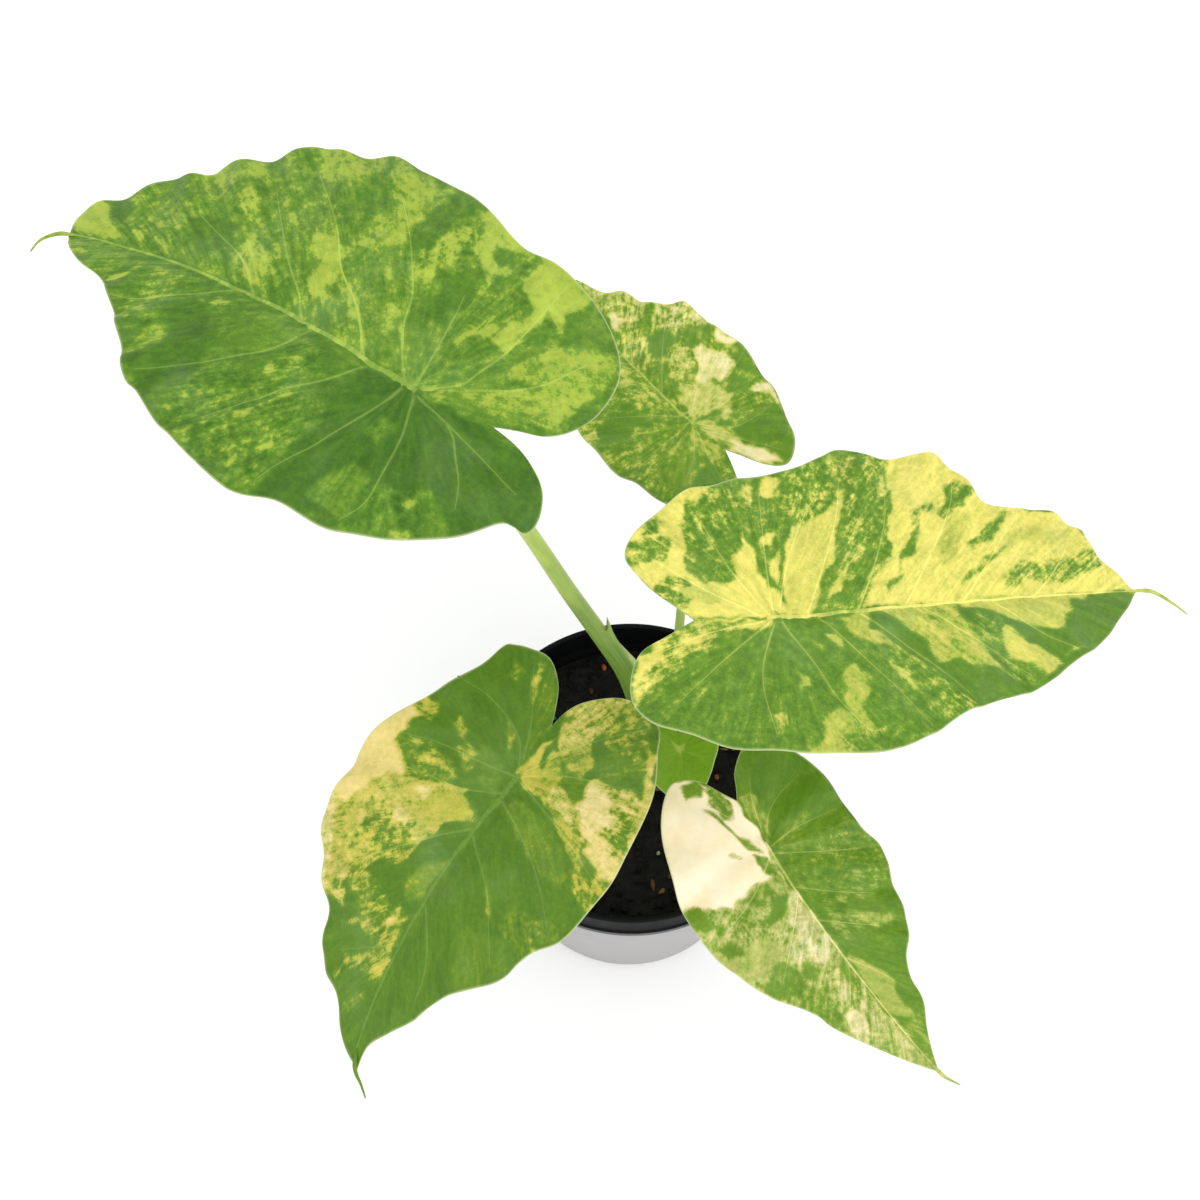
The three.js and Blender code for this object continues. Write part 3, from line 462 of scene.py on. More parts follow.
leaf_4 = Leaf(
    node="leaf_4", slot="mottled_leaf",
    hub=(-50.8, -64, 300), heading=-134.9, pitch=12, bend=0.003, sweep=0.00136, wave_step=24,
    left=[
        (-26, -5), (-35, -5), (-44, -2), (-55, 7), (-59, 18), (-57, 29), (-48, 37), (-37, 46),
        (-20, 54), (-6, 58), (7, 61), (22, 62), (36, 60), (47, 54), (56, 50), (66, 48), (78, 38),
        (89, 29), (104, 22), (117, 13), (129, 5),
    ],
    right=[
        (-34, -10), (-42, -17), (-47, -27), (-44, -36), (-41, -42), (-37, -46), (-20, -48),
        (5, -56), (27, -62), (39, -62), (47, -60), (64, -61), (80, -52), (90, -44), (100, -35),
        (112, -32), (118, -27), (121, -18), (131, -11), (137, -4),
    ],
    tip=(141, 3), tail=[(133, 0), (140, 3), (143, 8), (146, 12)],
    stalk=[
        (6, 7, 122), (1, 1, 152), (-9, -11, 190), (-28, -34, 250), (-44, -54, 285),
        (-49.4, -61.5, 296),
    ],
    thick=[10, 8.5, 7.2, 6.2, 5.6, 5],
    tone=0.25, speckle=0.2,
    patches=[
        (0.8, 0.1, [(84, 34), (74, 42), (60, 48), (54, 40), (60, 22), (72, 22)]),
        (0.8, 0.5, [(56, 58), (52, 34), (40, 34), (34, 50), (38, 62)]),
        (1.8, 0.4, streak((44, 54), (47, 51), 3)),
        (1.2, 0.6, streak((40, 20), (53, 32), 3.5)),
        (0.9, 0.3, [(22, 42), (23, 36), (21, 30), (18, 20), (14, 6), (6, 4), (6, 20), (8, 34),
            (12, 40), (15, 45)]),
        (1.5, 0.9, [(19, 62), (18, 52), (13, 44), (7, 42), (3, 46), (3, 62)]),
        (0.6, 0.4, [(12, 56), (11, 47), (5, 44), (5, 52)]),
        (1.75, 0.6, [(10, 46), (9, 38), (6, 30), (4, 26), (1, 19), (-1, 4), (-20, 4), (-6, 30),
            (1, 40)]),
        (2.1, 0.85, [(-1, 60), (1, 40), (-2, 16), (-8, 14), (-12, 24), (-22, 26), (-30, 40),
            (-26, 54), (-10, 64)], 0.3),
        (2.9, 0.5, [(7, 56), (4, 52), (5, 46), (3, 42), (-1, 41), (-3, 36), (-8, 34), (-6, 42),
            (-5, 50), (-4, 58), (1, 62)], 0.25),
        (3.1, 0.45, [(-4, 40), (-8, 32), (-12, 28), (-19, 26), (-18, 38), (-14, 44),
            (-9, 42)], 0.36),
        (1.3, 1.0, [(-6, 56), (-7, 46), (-14, 46), (-20, 44), (-22, 52), (-14, 58)], 0.2),
        (0.9, 0.4, [(-9, 27), (-10, 15), (-17, 14), (-19, 24)]),
        (1.6, 0.6, [(-17, 22), (-18, 6), (-30, 4), (-32, 12), (-24, 20)]),
        (0.7, 0.4, [(-22, 27), (-24, 22), (-30, 20), (-36, 20), (-40, 26), (-42, 36), (-34, 43),
            (-28, 38), (-26, 32)]),
        (2.0, 0.9, [(-20, 7), (-30, 12), (-44, 13), (-58, 12), (-58, -4), (-34, -6),
            (-24, 1)], 0.2),
        (1.2, 0.8, [(-36, 20), (-40, 40), (-48, 34), (-60, 20), (-56, 12), (-40, 12)]),
        (2.3, 0.5, [(-8, 58), (-20, 51), (-34, 43), (-46, 34), (-48, 37), (-30, 52),
            (-14, 62)], 0.2),
        (2.3, 0.4, [(1, 6), (-2, 10), (-6, 8), (-10, 2), (-24, 0), (-10, -3), (-1, -2)]),
        (1.15, 0.15, [(66, -1), (60, -2), (44, -1), (50, -6), (62, -12), (70, -8)]),
        (1.3, 0.5, streak((112, -4), (124, -12), 5)),
        (1.35, 0.8, [(112, -20), (106, -4), (94, -1), (74, -2), (74, -8), (80, -13), (92, -11),
            (100, -14), (108, -20)]),
        (1.9, 0.6, [(104, -2), (103, -8), (98, -7), (94, -4), (95, -1.5)]),
        (1.8, 0.6, [(89, -2), (88, -7), (83, -7), (82, -2)]),
        (2.3, 0.5, streak((75, -6), (87, -11), 4), 0.2),
        (2.2, 0.5, streak((96, -12), (107, -18), 3)),
        (1.2, 0.8, [(91, -13), (91, -22), (86, -24), (80, -34), (71, -32), (72, -20), (76, -12),
            (84, -10)]),
        (0.3, 0.2, [(91, -23), (90, -30), (83, -30), (83, -24)]),
        (2.2, 0.5, streak((71, -26), (77, -34), 2.6), 0.2),
        (1.9, 0.4, streak((87, -19), (99, -29), 2)),
        (2.1, 0.4, streak((113, -20), (118, -22), 2.5)),
        (1.6, 0.9, [(91, -32), (92, -44), (80, -50), (68, -46), (66, -28), (74, -34),
            (82, -34)], 0.2),
        (2.05, 0.6, [(25, -1), (30, -6), (37, -11), (46, -14), (56, -17), (64, -22), (68, -29),
            (76, -36), (92, -42), (92, -46), (80, -54), (66, -64), (40, -66), (4, -60), (8, -50),
            (20, -50), (27, -47), (30, -38), (26, -31), (21, -22), (18, -14), (22, -12),
            (26, -8)], 0.1),
        (1.5, 1.0, [(63, -22), (64, -42), (56, -44), (46, -36), (44, -22), (54, -18)]),
        (2.0, 0.25, [(24, -2), (32, -9), (40, -13), (42, -22), (32, -24), (24, -20), (20, -14)]),
        (2.5, 0.7, [(92, -42), (86, -50), (76, -58), (62, -66), (60, -58), (70, -52),
            (80, -46)], 0.4),
        (3.0, 0.08, [(58, -53), (52, -52), (46, -50), (40, -47), (36, -45), (33, -39), (31, -41),
            (29, -46), (26, -50), (15, -51), (8, -50), (4, -57), (20, -66), (40, -68),
            (60, -66)], 0.26),
        (2.9, 0.4, [(33, -23), (34, -28), (30, -32), (28, -27)], 0.35),
        (2.8, 0.5, [(49, -26), (49, -33), (45, -34), (44, -28)], 0.3),
        (1.0, 0.8, [(26, -30), (29, -40), (25, -50), (18, -50), (14, -38), (14, -20), (20, -20)]),
        (2.2, 0.7, streak((16, -20), (20, -38), 3.5)),
        (1.5, 0.8, [(13, -16), (10, -28), (4, -28), (4, -16)]),
        (1.75, 0.2, [(4, -28), (3, -37), (-2, -38), (0, -28)]),
        (1.7, 0.9, [(9, -46), (8, -54), (0, -58), (1, -48)]),
        (0.8, 0.15, [(10, -2), (12, -12), (8, -20), (1, -20), (0, -8)]),
        (1.4, 0.6, streak((-6, -9), (-15, -21), 3.5)),
        (0.8, 0.5, [(-6, -4), (-20, -10), (-30, -18), (-44, -30), (-48, -24), (-38, -14),
            (-26, -5)]),
        (1.6, 0.9, streak((-25, -16), (-43, -26), 4)),
        (1.3, 0.7, [(-29, -29), (-31, -35), (-38, -36), (-36, -30)]),
    ],
    veins=[
        [(65, 0), (75, 10), (88, 17), (102, 19)], [(30, 0), (42, 20), (54, 32), (64, 41)],
        [(11, 0), (17, 20), (26, 38), (38, 53)], [(0, 1), (2, 18), (5, 38), (10, 56)],
        [(-2, 1), (-14, 14), (-25, 32), (-34, 47)], [(-3, 0), (-24, 8), (-42, 18), (-54, 26)],
        [(86, 0), (98, -14), (108, -26)], [(27, 0), (50, -18), (68, -32), (82, -44)],
        [(8, 0), (20, -16), (27, -36), (38, -54)], [(0, -1), (6, -18), (12, -36), (20, -52)],
        [(-1, -1), (-13, -12), (-17, -32), (-14, -50)],
        [(-2, -1), (-16, -9), (-28, -18), (-40, -30)],
    ],
    midrib_width=4.2,
    dark=tint(68, 110, 20), mid=tint(102, 136, 34), lime=tint(162, 168, 58),
    lemon=tint(218, 194, 88), vein_light=tint(62, 72, 38),
)

leaf_5 = Leaf(
    node="leaf_5", slot="mottled_leaf",
    hub=(58.9, -78.5, 250), heading=-56.2, pitch=12, bend=0.003, sweep=0.00091, wave=1.5,
    wave_step=20,
    left=[
        (-30, 3), (-37, 7), (-44, 17), (-42, 25), (-35, 31), (-22, 38), (0, 40), (14, 40),
        (26, 43), (38, 39), (48, 36), (61, 32), (71, 24), (81, 18), (93, 16), (109, 7),
    ],
    right=[
        (-25, 0), (-32, -4), (-42, -10), (-47, -19), (-43, -27), (-34, -35), (-21, -41),
        (-3, -47), (11, -49), (25, -48), (37, -45), (55, -38), (65, -31), (74, -26), (82, -24),
        (100, -15), (115, -7),
    ],
    tip=(127, 0), tail=[(121, 0), (128, 0), (132, 1), (137, 3)],
    stalk=[
        (21, 4, 121), (27, -4, 131), (34, -15, 148), (46, -42, 195), (56, -68, 235),
        (58.6, -76.5, 246.5),
    ],
    thick=[9, 8, 7, 5.8, 5, 4.4],
    tone=0.6, speckle=0.35,
    patches=[
        (2.0, 0.75, [(130, 0), (80, 0), (0, 0), (0, -54), (40, -50), (80, -30), (120, -12)], 0.2),
        (1.5, 0.3, [(130, 0), (116, 5), (106, 8), (98, 10), (100, 0)]),
        (0.9, 0.3, streak((115, 2), (103, 3), 3)),
        (1.95, 0.05, [(99, 7), (97, 3), (94, 1), (60, 0.5), (58, 2), (64, 6), (70, 9), (75, 11),
            (80, 11), (83, 9), (88, 8), (92, 7.5)]),
        (1.9, 0.5, [(56, 28), (55, 20), (50, 14), (44, 8), (42, 12), (47, 20), (50, 25)]),
        (1.3, 0.8, [(55, 14), (52, 4), (40, 3), (40, 12), (48, 16)]),
        (0.95, 0.85, [(40, 38), (40, 6), (24, 3), (4, 4), (8, 38), (24, 42)]),
        (1.3, 0.6, [(6, 12), (4, 3), (-4, 8), (-5, 24), (0, 24)]),
        (0.3, 0.25, [(-5, 36), (-5, 12), (-14, 12), (-22, 8), (-36, 8), (-44, 20), (-30, 36)]),
        (1.7, 0.7, [(-4, 4), (-16, 9), (-26, 8), (-26, 1), (-10, 1)]),
        (2.1, 0.5, [(128, 0), (100, -1), (100, -12), (114, -9)], 0.2),
        (2.6, 0.5, streak((116, -2), (100, -5), 3), 0.4),
        (2.9, 0.4, [(90, -14), (89, -18), (80, -18), (78, -12), (84, -11)], 0.5),
        (2.8, 0.4, streak((76, -13), (64, -5), 4), 0.5),
        (2.5, 0.6, streak((96, -8), (78, -6), 4), 0.4),
        (1.1, 0.4, [(71, -2), (70, -6), (62, -5), (60, -1)]),
        (1.4, 0.7, [(88, -19), (78, -26), (62, -34), (60, -20), (66, -14), (76, -18)]),
        (1.0, 0.4, [(60, -22), (58, -36), (50, -40), (47, -34), (45, -26), (50, -22)]),
        (1.2, 0.4, [(58, -13), (57, -20), (52, -21), (52, -14)]),
        (2.95, 0.2, [(44, -1), (49, -1.5), (53, -4), (55, -8), (53, -11), (50, -10), (48, -6),
            (44, -5)], 0.5),
        (2.6, 0.7, [(50, -8), (49, -18), (42, -20), (40, -8)], 0.5),
        (2.15, 0.3, [(46, -20), (46, -42), (38, -48), (26, -50), (24, -40), (32, -22),
            (38, -18)], 0.1),
        (2.6, 0.6, [(42, -1), (42, -9), (30, -10), (20, -4), (20, -1)], 0.5),
        (0.7, 0.25, [(22, -4), (26, -10), (28, -17), (25, -18), (22, -14), (19, -12)]),
        (1.2, 0.7, [(18, -9), (18, -20), (12, -22), (12, -10)]),
        (1.7, 0.9, [(30, -20), (30, -37), (18, -38), (14, -30), (16, -20)], 0.2),
        (1.0, 0.4, [(32, -37), (31, -45), (25, -46), (26, -38)]),
        (3.8, 0.04, [(10, -5), (10, -14), (12, -24), (13, -28), (9, -34), (8, -40), (4, -46),
            (5, -54), (-20, -48), (-40, -36), (-50, -20), (-44, -12), (-30, -4), (-26, 0),
            (-2, 0)], 1),
        (1.2, 0.1, [(16, -40), (15, -46), (12, -52), (4, -52), (6, -42)]),
        (1.1, 0.8, [(13, -2), (11, -5), (3, -8), (-2, -7), (2, -3)], 0.3),
        (2.2, 0.4, streak((-2, -11), (-7, -18), 3), 0.5),
        (1.2, 0.3, streak((0, -3), (-12, -9), 2.6), 0.3),
        (1.2, 0.3, streak((-10, -7.5), (-30, -14), 2.2), 0.3),
        (1.4, 1.0, [(-18, -5), (-20, -9), (-30, -12), (-36, -11), (-38, -7), (-28, -4)], 0.4),
        (1.2, 0.3, [(-36, -14), (-37, -17.5), (-44, -16), (-43, -11), (-38, -10)]),
    ],
    veins=[
        [(58, 0), (72, 8), (86, 14)], [(38, 0), (48, 12), (56, 22)],
        [(20, 0), (32, 14), (42, 28)], [(3, 1), (12, 16), (22, 34)], [(0, 1), (-1, 16), (2, 37)],
        [(-2, 1), (-12, 8), (-17, 17), (-20, 30)], [(-3, 1), (-22, 6), (-34, 13)],
        [(62, 0), (74, -9), (84, -18)], [(44, 0), (56, -9), (64, -20)],
        [(24, 0), (38, -14), (52, -30)], [(3, -1), (14, -18), (22, -40)],
        [(0, -1), (-4, -20), (2, -44)], [(-3, -1), (-16, -5), (-32, -14), (-42, -22)],
    ],
    midrib_width=2.2, midrib_tone=1.3,
    dark=tint(71, 115, 11), mid=tint(107, 141, 34), lime=tint(135, 158, 60),
    lemon=tint(214, 204, 112), vein_light=tint(84, 86, 48),
)

leaf_6 = Leaf(
    node="leaf_6", slot="green_leaf",
    hub=(23.2, -4.3, 178), heading=-84, pitch=15, bend=0.016, lobe_bend=0.012, droop=0.2, sweep=0,
    wave=0.6, wave_step=10,
    left=[(-8, 0), (-14, 4), (-16, 10), (-11, 16), (-1, 19), (8, 16), (15, 13), (24, 8)],
    right=[(-13, -5), (-15, -11), (-9, -17), (1, -19), (9, -18), (15, -14.5), (22, -8.5)],
    tip=(34, 0), tail=[(30, 0), (34, 0), (37, 1), (39, 2)],
    stalk=[(15, 3.5, 124), (16.5, 1.5, 145), (20.5, -1.5, 165), (22.6, -3.4, 174)],
    thick=[7, 5.6, 4.4, 3.6],
    tone=1.0, speckle=0.06,
    patches=[
        (2.3, 0.2, [(3, -0.4), (0.5, -2.2), (-4.5, -3.4), (-2, -1), (-1, 0.4), (-2.8, 2.8),
            (0, 2.2)]),
    ],
    veins=[
        [(8, 0), (16, 6), (19, 10)], [(0, 0), (4, 8), (5, 16)], [(0, 0), (-6, 6), (-10, 12)],
        [(8, 0), (16, -6), (20, -10)], [(0, 0), (4, -8), (5, -16)], [(0, 0), (-6, -6), (-9, -13)],
    ],
    midrib_width=1.6,
    dark=tint(104, 150, 17), mid=tint(118, 162, 26), lime=tint(150, 178, 60),
    lemon=tint(190, 200, 90), vein_light=tint(56, 64, 34),
)

LEAVES = [leaf_1, leaf_2, leaf_3, leaf_4, leaf_5, leaf_6]


# Small shape helpers

def smooth(x):
    """0 below 0 and 1 above 1, with an eased step between."""
    t = np.clip(x, 0, 1)
    return t * t * (3 - 2 * t)


def unit(vectors):
    """The vectors at length 1."""
    return vectors / np.maximum(np.linalg.norm(vectors, axis=-1, keepdims=True), 1e-12)


def value_noise(x, y, seed):
    """Smooth random heights from -1 to 1 over a plane, with one knot in each unit square."""
    column = np.floor(x)
    row = np.floor(y)
    across = smooth(x - column)
    up = smooth(y - row)

    def knot(i, j):
        return np.modf(np.abs(np.sin(i * 127.1 + j * 311.7 + seed * 74.7)) * 43758.5453)[0]

    low = knot(column, row) * (1 - across) + knot(column + 1, row) * across
    high = knot(column, row + 1) * (1 - across) + knot(column + 1, row + 1) * across
    return 2 * (low * (1 - up) + high * up) - 1


def curve_span(start, end, leave, arrive, share):
    """A span between two points, from the directions in which it leaves and arrives."""
    return (
        (2 * start - 2 * end + leave + arrive) * share**3
        + (3 * end - 3 * start - 2 * leave - arrive) * share**2
        + leave * share + start
    )


def smooth_line(points, per_span):
    """A uniform Catmull-Rom line through the points."""
    points = np.asarray(points, float)
    padded = np.vstack([points[:1], points, points[-1:]])
    share = np.arange(per_span)[:, None] / per_span
    spans = []
    for i in range(len(points) - 1):
        before, start, end, after = padded[i:i + 4]
        spans.append(curve_span(start, end, (end - before) / 2, (after - start) / 2, share))
    return np.vstack([*spans, points[-1:]])


def evenly(points, count):
    """The line resampled to count equal steps."""
    steps = np.linalg.norm(np.diff(points, axis=0), axis=1)
    length = np.concatenate([[0], np.cumsum(steps)])
    wanted = np.linspace(0, length[-1], count + 1)
    return np.stack([np.interp(wanted, length, column) for column in points.T], axis=1)


def stalk_line(points, per_span):
    """A centripetal Catmull-Rom line through the points, and each place's share of the way
    counted in points."""
    points = np.asarray(points, float)
    padded = np.vstack([2 * points[0] - points[1], points, 2 * points[-1] - points[-2]])
    share = np.arange(per_span)[:, None] / per_span
    spans = []
    for i in range(len(points) - 1):
        p0, p1, p2, p3 = padded[i:i + 4]
        d0, d1, d2 = (np.linalg.norm(b - a) ** 0.5 for a, b in ((p0, p1), (p1, p2), (p2, p3)))
        leave = ((p1 - p0) / d0 - (p2 - p0) / (d0 + d1) + (p2 - p1) / d1) * d1
        arrive = ((p2 - p1) / d1 - (p3 - p1) / (d1 + d2) + (p3 - p2) / d2) * d1
        spans.append(curve_span(p1, p2, leave, arrive, share))
    line = np.vstack([*spans, points[-1:]])
    return line, np.arange(len(line)) / per_span


def full_turn(count):
    """Angles round a full turn."""
    return np.arange(count) / count * 2 * np.pi


def carried_frames(line):
    """Tangents, and two directions across the line that turn as little as they can."""
    tangents = unit(np.gradient(line, axis=0))
    helper = np.eye(3)[np.argmin(np.abs(tangents[0]))]
    side = np.cross(tangents[0], np.cross(tangents[0], helper))
    side = unit(side - tangents[0] * np.dot(side, tangents[0]))
    sides = [side]
    for tangent in tangents[1:]:
        side = unit(side - tangent * np.dot(side, tangent))
        sides.append(side)
    sides = np.array(sides)
    return tangents, sides, np.cross(tangents, sides)


def outward_round(sides, others, around):
    """Directions out of a line all round it, ring by ring."""
    turn = full_turn(around)
    return (
        sides[:, None] * np.cos(turn)[None, :, None]
        + others[:, None] * np.sin(turn)[None, :, None]
    )


def ring_faces(rings, around, first=0):
    """Faces of a closed tube of rings, with flat ends."""
    k = np.arange(around)
    following = (k + 1) % around
    faces = []
    for i in range(rings - 1):
        a = first + i * around
        b = a + around
        faces.extend(np.stack([a + k, a + following, b + following, b + k], axis=1).tolist())
    faces.append([first + int(i) for i in k[::-1]])
    faces.append([first + (rings - 1) * around + int(i) for i in k])
    return faces


def round_tube(line, radii, around):
    """Points of a round tube along a line, ring by ring."""
    _, sides, others = carried_frames(line)
    outward = outward_round(sides, others, around)
    return (line[:, None] + outward * np.asarray(radii)[:, None, None]).reshape(-1, 3)


def turned_points(profile, around, centre=(0, 0)):
    """Rings of points about an upright axis from (radius, height) pairs."""
    turn = full_turn(around)
    rings = [
        np.stack([
            centre[0] + radius * np.cos(turn), centre[1] + radius * np.sin(turn),
            np.full(around, height),
        ], axis=1)
        for radius, height in profile
    ]
    return np.vstack(rings)


def rounded(profile, radius, steps=4):
    """The profile with its corners eased."""
    points = [np.array(p, float) for p in profile]
    eased = [points[0]]
    for before, corner, after in zip(points, points[1:], points[2:]):
        back = before - corner
        on = after - corner
        cut = min(radius, np.linalg.norm(back) * 0.45, np.linalg.norm(on) * 0.45)
        start = corner + back / np.linalg.norm(back) * cut
        end = corner + on / np.linalg.norm(on) * cut
        for t in np.linspace(0, 1, steps):
            eased.append(start * (1 - t) ** 2 + corner * 2 * t * (1 - t) + end * t**2)
    eased.append(points[-1])
    return eased


def vertex_normals(points, faces):
    """Normals of a sheet of triangles and four-sided faces, averaged at its points."""
    normals = np.zeros_like(points)
    for size in (3, 4):
        corners = np.array([f for f in faces if len(f) == size])
        if not len(corners):
            continue
        across = points[corners[:, 2]] - points[corners[:, 0]]
        along = points[corners[:, -1]] - points[corners[:, 1]]
        face_normals = np.cross(across, along)
        for column in corners.T:
            np.add.at(normals, column, face_normals)
    return unit(normals)


def add_object(name, data):
    """A new object of the scene with this mesh, light or lens."""
    made = bpy.data.objects.new(name, data)
    bpy.context.scene.collection.objects.link(made)
    return made


def new_piece(name, points, faces, materials, nodes, marks=None, face_looks=None):
    """A mesh object that rides on the plant and stands for the CAD nodes. marks are named
    values at its points, which the materials read."""
    mesh = bpy.data.meshes.new(name)
    mesh.from_pydata((np.asarray(points) * MM).tolist(), [], faces)
    for mark, values in (marks or {}).items():
        values = np.asarray(values, np.float32)
        kind = "FLOAT_VECTOR" if values.ndim == 2 else "FLOAT"
        attribute = mesh.attributes.new(mark, kind, "POINT")
        attribute.data.foreach_set("vector" if values.ndim == 2 else "value", values.ravel())
    for material in materials:
        mesh.materials.append(material)
    if face_looks is not None:
        mesh.polygons.foreach_set("material_index", np.asarray(face_looks, np.int32))
    mesh.polygons.foreach_set("use_smooth", np.ones(len(mesh.polygons), bool))
    mesh.update()
    piece = add_object(name, mesh)
    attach(piece, BODY)
    if nodes:
        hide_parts(*nodes)
    return piece


# Shader helpers

class Shader:
    """Builds one material's nodes."""

    def __init__(self, name):
        self.material = bpy.data.materials.new(name)
        self.material.use_nodes = True
        self.tree = self.material.node_tree
        self.surface = self.tree.nodes["Principled BSDF"]

    def node(self, kind, inputs=None, **settings):
        """A new node, with each input linked to an output or set to a value."""
        made = self.tree.nodes.new(kind)
        for key, value in settings.items():
            setattr(made, key, value)
        for key, value in (inputs or {}).items():
            if isinstance(value, bpy.types.NodeSocket):
                self.tree.links.new(value, made.inputs[key])
            else:
                made.inputs[key].default_value = value
        return made

    def place(self):
        """The place on the piece, in metres."""
        return self.node("ShaderNodeTexCoord").outputs["Object"]

    def mark(self, name, output="Fac"):
        """A mark of the mesh, as a number or as a Vector."""
        return self.node("ShaderNodeAttribute", attribute_name=name).outputs[output]

    def maths(self, operation, first, second):
        return self.node("ShaderNodeMath", {0: first, 1: second}, operation=operation).outputs[0]

    def plus(self, first, second):
        return self.maths("ADD", first, second)

    def times(self, first, second):
        return self.maths("MULTIPLY", first, second)

    def centred(self, noise, amount):
        """A noise about 0, and amount times as strong."""
        return self.times(self.maths("SUBTRACT", noise, 0.5), amount)

    def grey(self, value):
        """A number as a grey."""
        channels = {"Red": value, "Green": value, "Blue": value}
        return self.node("ShaderNodeCombineColor", channels).outputs[0]

    def stretched(self, vector, scale):
        inputs = {"Vector": vector, "Scale": scale}
        return self.node("ShaderNodeMapping", inputs).outputs["Vector"]

    def noise(self, vector, scale, detail=3.0, roughness=0.55):
        inputs = {"Vector": vector, "Scale": scale, "Detail": detail, "Roughness": roughness}
        return self.node("ShaderNodeTexNoise", inputs).outputs["Fac"]

    def ramp(self, value, stops):
        """A colour read off (position, colour) stops."""
        made = self.node("ShaderNodeValToRGB", {"Fac": value})
        elements = made.color_ramp.elements
        for element, (place, colour) in ((elements[0], stops[0]), (elements[1], stops[-1])):
            element.position = place
            element.color = (*colour, 1)
        for place, colour in stops[1:-1]:
            elements.new(place).color = (*colour, 1)
        return made.outputs["Color"]

    def mix(self, share, first, second, blend="MIX"):
        """The first colour with a share of the second."""
        made = self.node("ShaderNodeMix", data_type="RGBA", blend_type=blend)
        sockets = (made.inputs[0], made.inputs[6], made.inputs[7])
        for socket, value in zip(sockets, (share, first, second)):
            if isinstance(value, bpy.types.NodeSocket):
                self.tree.links.new(value, socket)
            elif isinstance(value, (int, float)):
                socket.default_value = value
            else:
                socket.default_value = (*value, 1)
        return made.outputs[2]

    def spread(self, value, low, high, to_low, to_high):
        """A value that runs from low to high, as one from to_low to to_high."""
        inputs = {"Value": value, "From Min": low, "From Max": high, "To Min": to_low,
                  "To Max": to_high}
        return self.node("ShaderNodeMapRange", inputs).outputs["Result"]

    def finish(self, colour=None, roughness=None, bump=None, **constants):
        """The material. bump is a height, how far it stands out and how strongly it shows."""
        for key, value in constants.items():
            self.surface.inputs[key.replace("_", " ")].default_value = value
        for key, value in (("Base Color", colour), ("Roughness", roughness)):
            if isinstance(value, bpy.types.NodeSocket):
                self.tree.links.new(value, self.surface.inputs[key])
            elif value is not None:
                self.surface.inputs[key].default_value = value
        if bump:
            height, distance, strength = bump
            inputs = {"Height": height, "Distance": distance, "Strength": strength}
            made = self.node("ShaderNodeBump", inputs)
            self.tree.links.new(made.outputs["Normal"], self.surface.inputs["Normal"])
        return self.material


# Blades

# Slopes of the waves and of the mottling's grain from the midrib. Both curve towards the tip,
# and both fan out round the hub.
WAVE_SLOPE = math.radians(60)
WAVE_FAN = math.radians(33)
WAVE_CURVE = 0.0016
GRAIN_SLOPE = math.radians(55)
GRAIN_LEAN = math.radians(33)
GRAIN_CURVE = 0.0012
GRAIN_FAN = 45
GRAIN_STRETCH = 1.3

# The fold is rounded over this width. The sides have fallen by droop times the next length
# that far from the midrib.
FOLD_ROUNDING = 6
DROOP_LENGTH = 70

# Waves start this far from the midrib and grow to their full height over the next stretch
WAVE_START = 4
WAVE_GROWTH = 30

# The blade sinks this far to each side of a side vein and of the midrib, where it sinks more.
# Between the veins it swells into bumps of this height and width.
VEIN_SINK_WIDTH = 4.5
MIDRIB_SINK_WIDTH = 4
MIDRIB_SINK_DEPTH = 1.3
SWELL_HEIGHT = 0.45
SWELL_WIDTH = 9

# A vein pales the blade this far to each side
VEIN_GLOW_WIDTH = 1.3

# Lobes that make the outlines of patches ragged: how wide and how deep they are
BROAD_LOBES = (9, 1.5)
FINE_LOBES = (4.3, 1.3)

# Steps from one given point to the next, of an edge, a side vein and a tail, and steps along
# a whole side vein and a whole midrib
EDGE_SPAN_STEPS = 24
VEIN_SPAN_STEPS = 10
TAIL_SPAN_STEPS = 8
VEIN_STEPS = 26
MIDRIB_STEPS = 60

# The length of the largest blade, which the settings' spokes and rings are for, and the
# lengths from which a blade has relief and ragged patches of full size
LARGEST_BLADE = 180
RELIEF_BLADE = 130
PATCH_BLADE = 90

# The width of the clear line along the margin and of the outermost ring of faces, and how
# thin the blade is at the margin as a share of its thickness
RIM_LINE = 0.9
OUTER_RING = 0.6
MARGIN_THINNING = 0.45

# Sides round a vein and a tail
VEIN_SIDES = 10
TAIL_SIDES = 10


def blade_size(leaf, full_length):
    """The blade's length as a share of a full one, at most 1."""
    return min(1, leaf.tip[0] / full_length)


def compass(leaf):
    """The level directions along the midrib and to the left of it."""
    heading = math.radians(leaf.heading)
    ahead = np.array([math.cos(heading), math.sin(heading), 0])
    left = np.array([-math.sin(heading), math.cos(heading), 0])
    return ahead, left


def wave_place(leaf, along, across):
    """Where the waves of the edge lie: whole numbers ahead of the hub and fanned round it."""
    side = np.abs(across)
    straightened = along - WAVE_CURVE * side**2
    turn = np.arctan2(side, straightened)
    ahead = (straightened - side / math.tan(WAVE_SLOPE)) / leaf.wave_step
    return np.where(turn < WAVE_SLOPE, ahead, -(turn - WAVE_SLOPE) / WAVE_FAN)


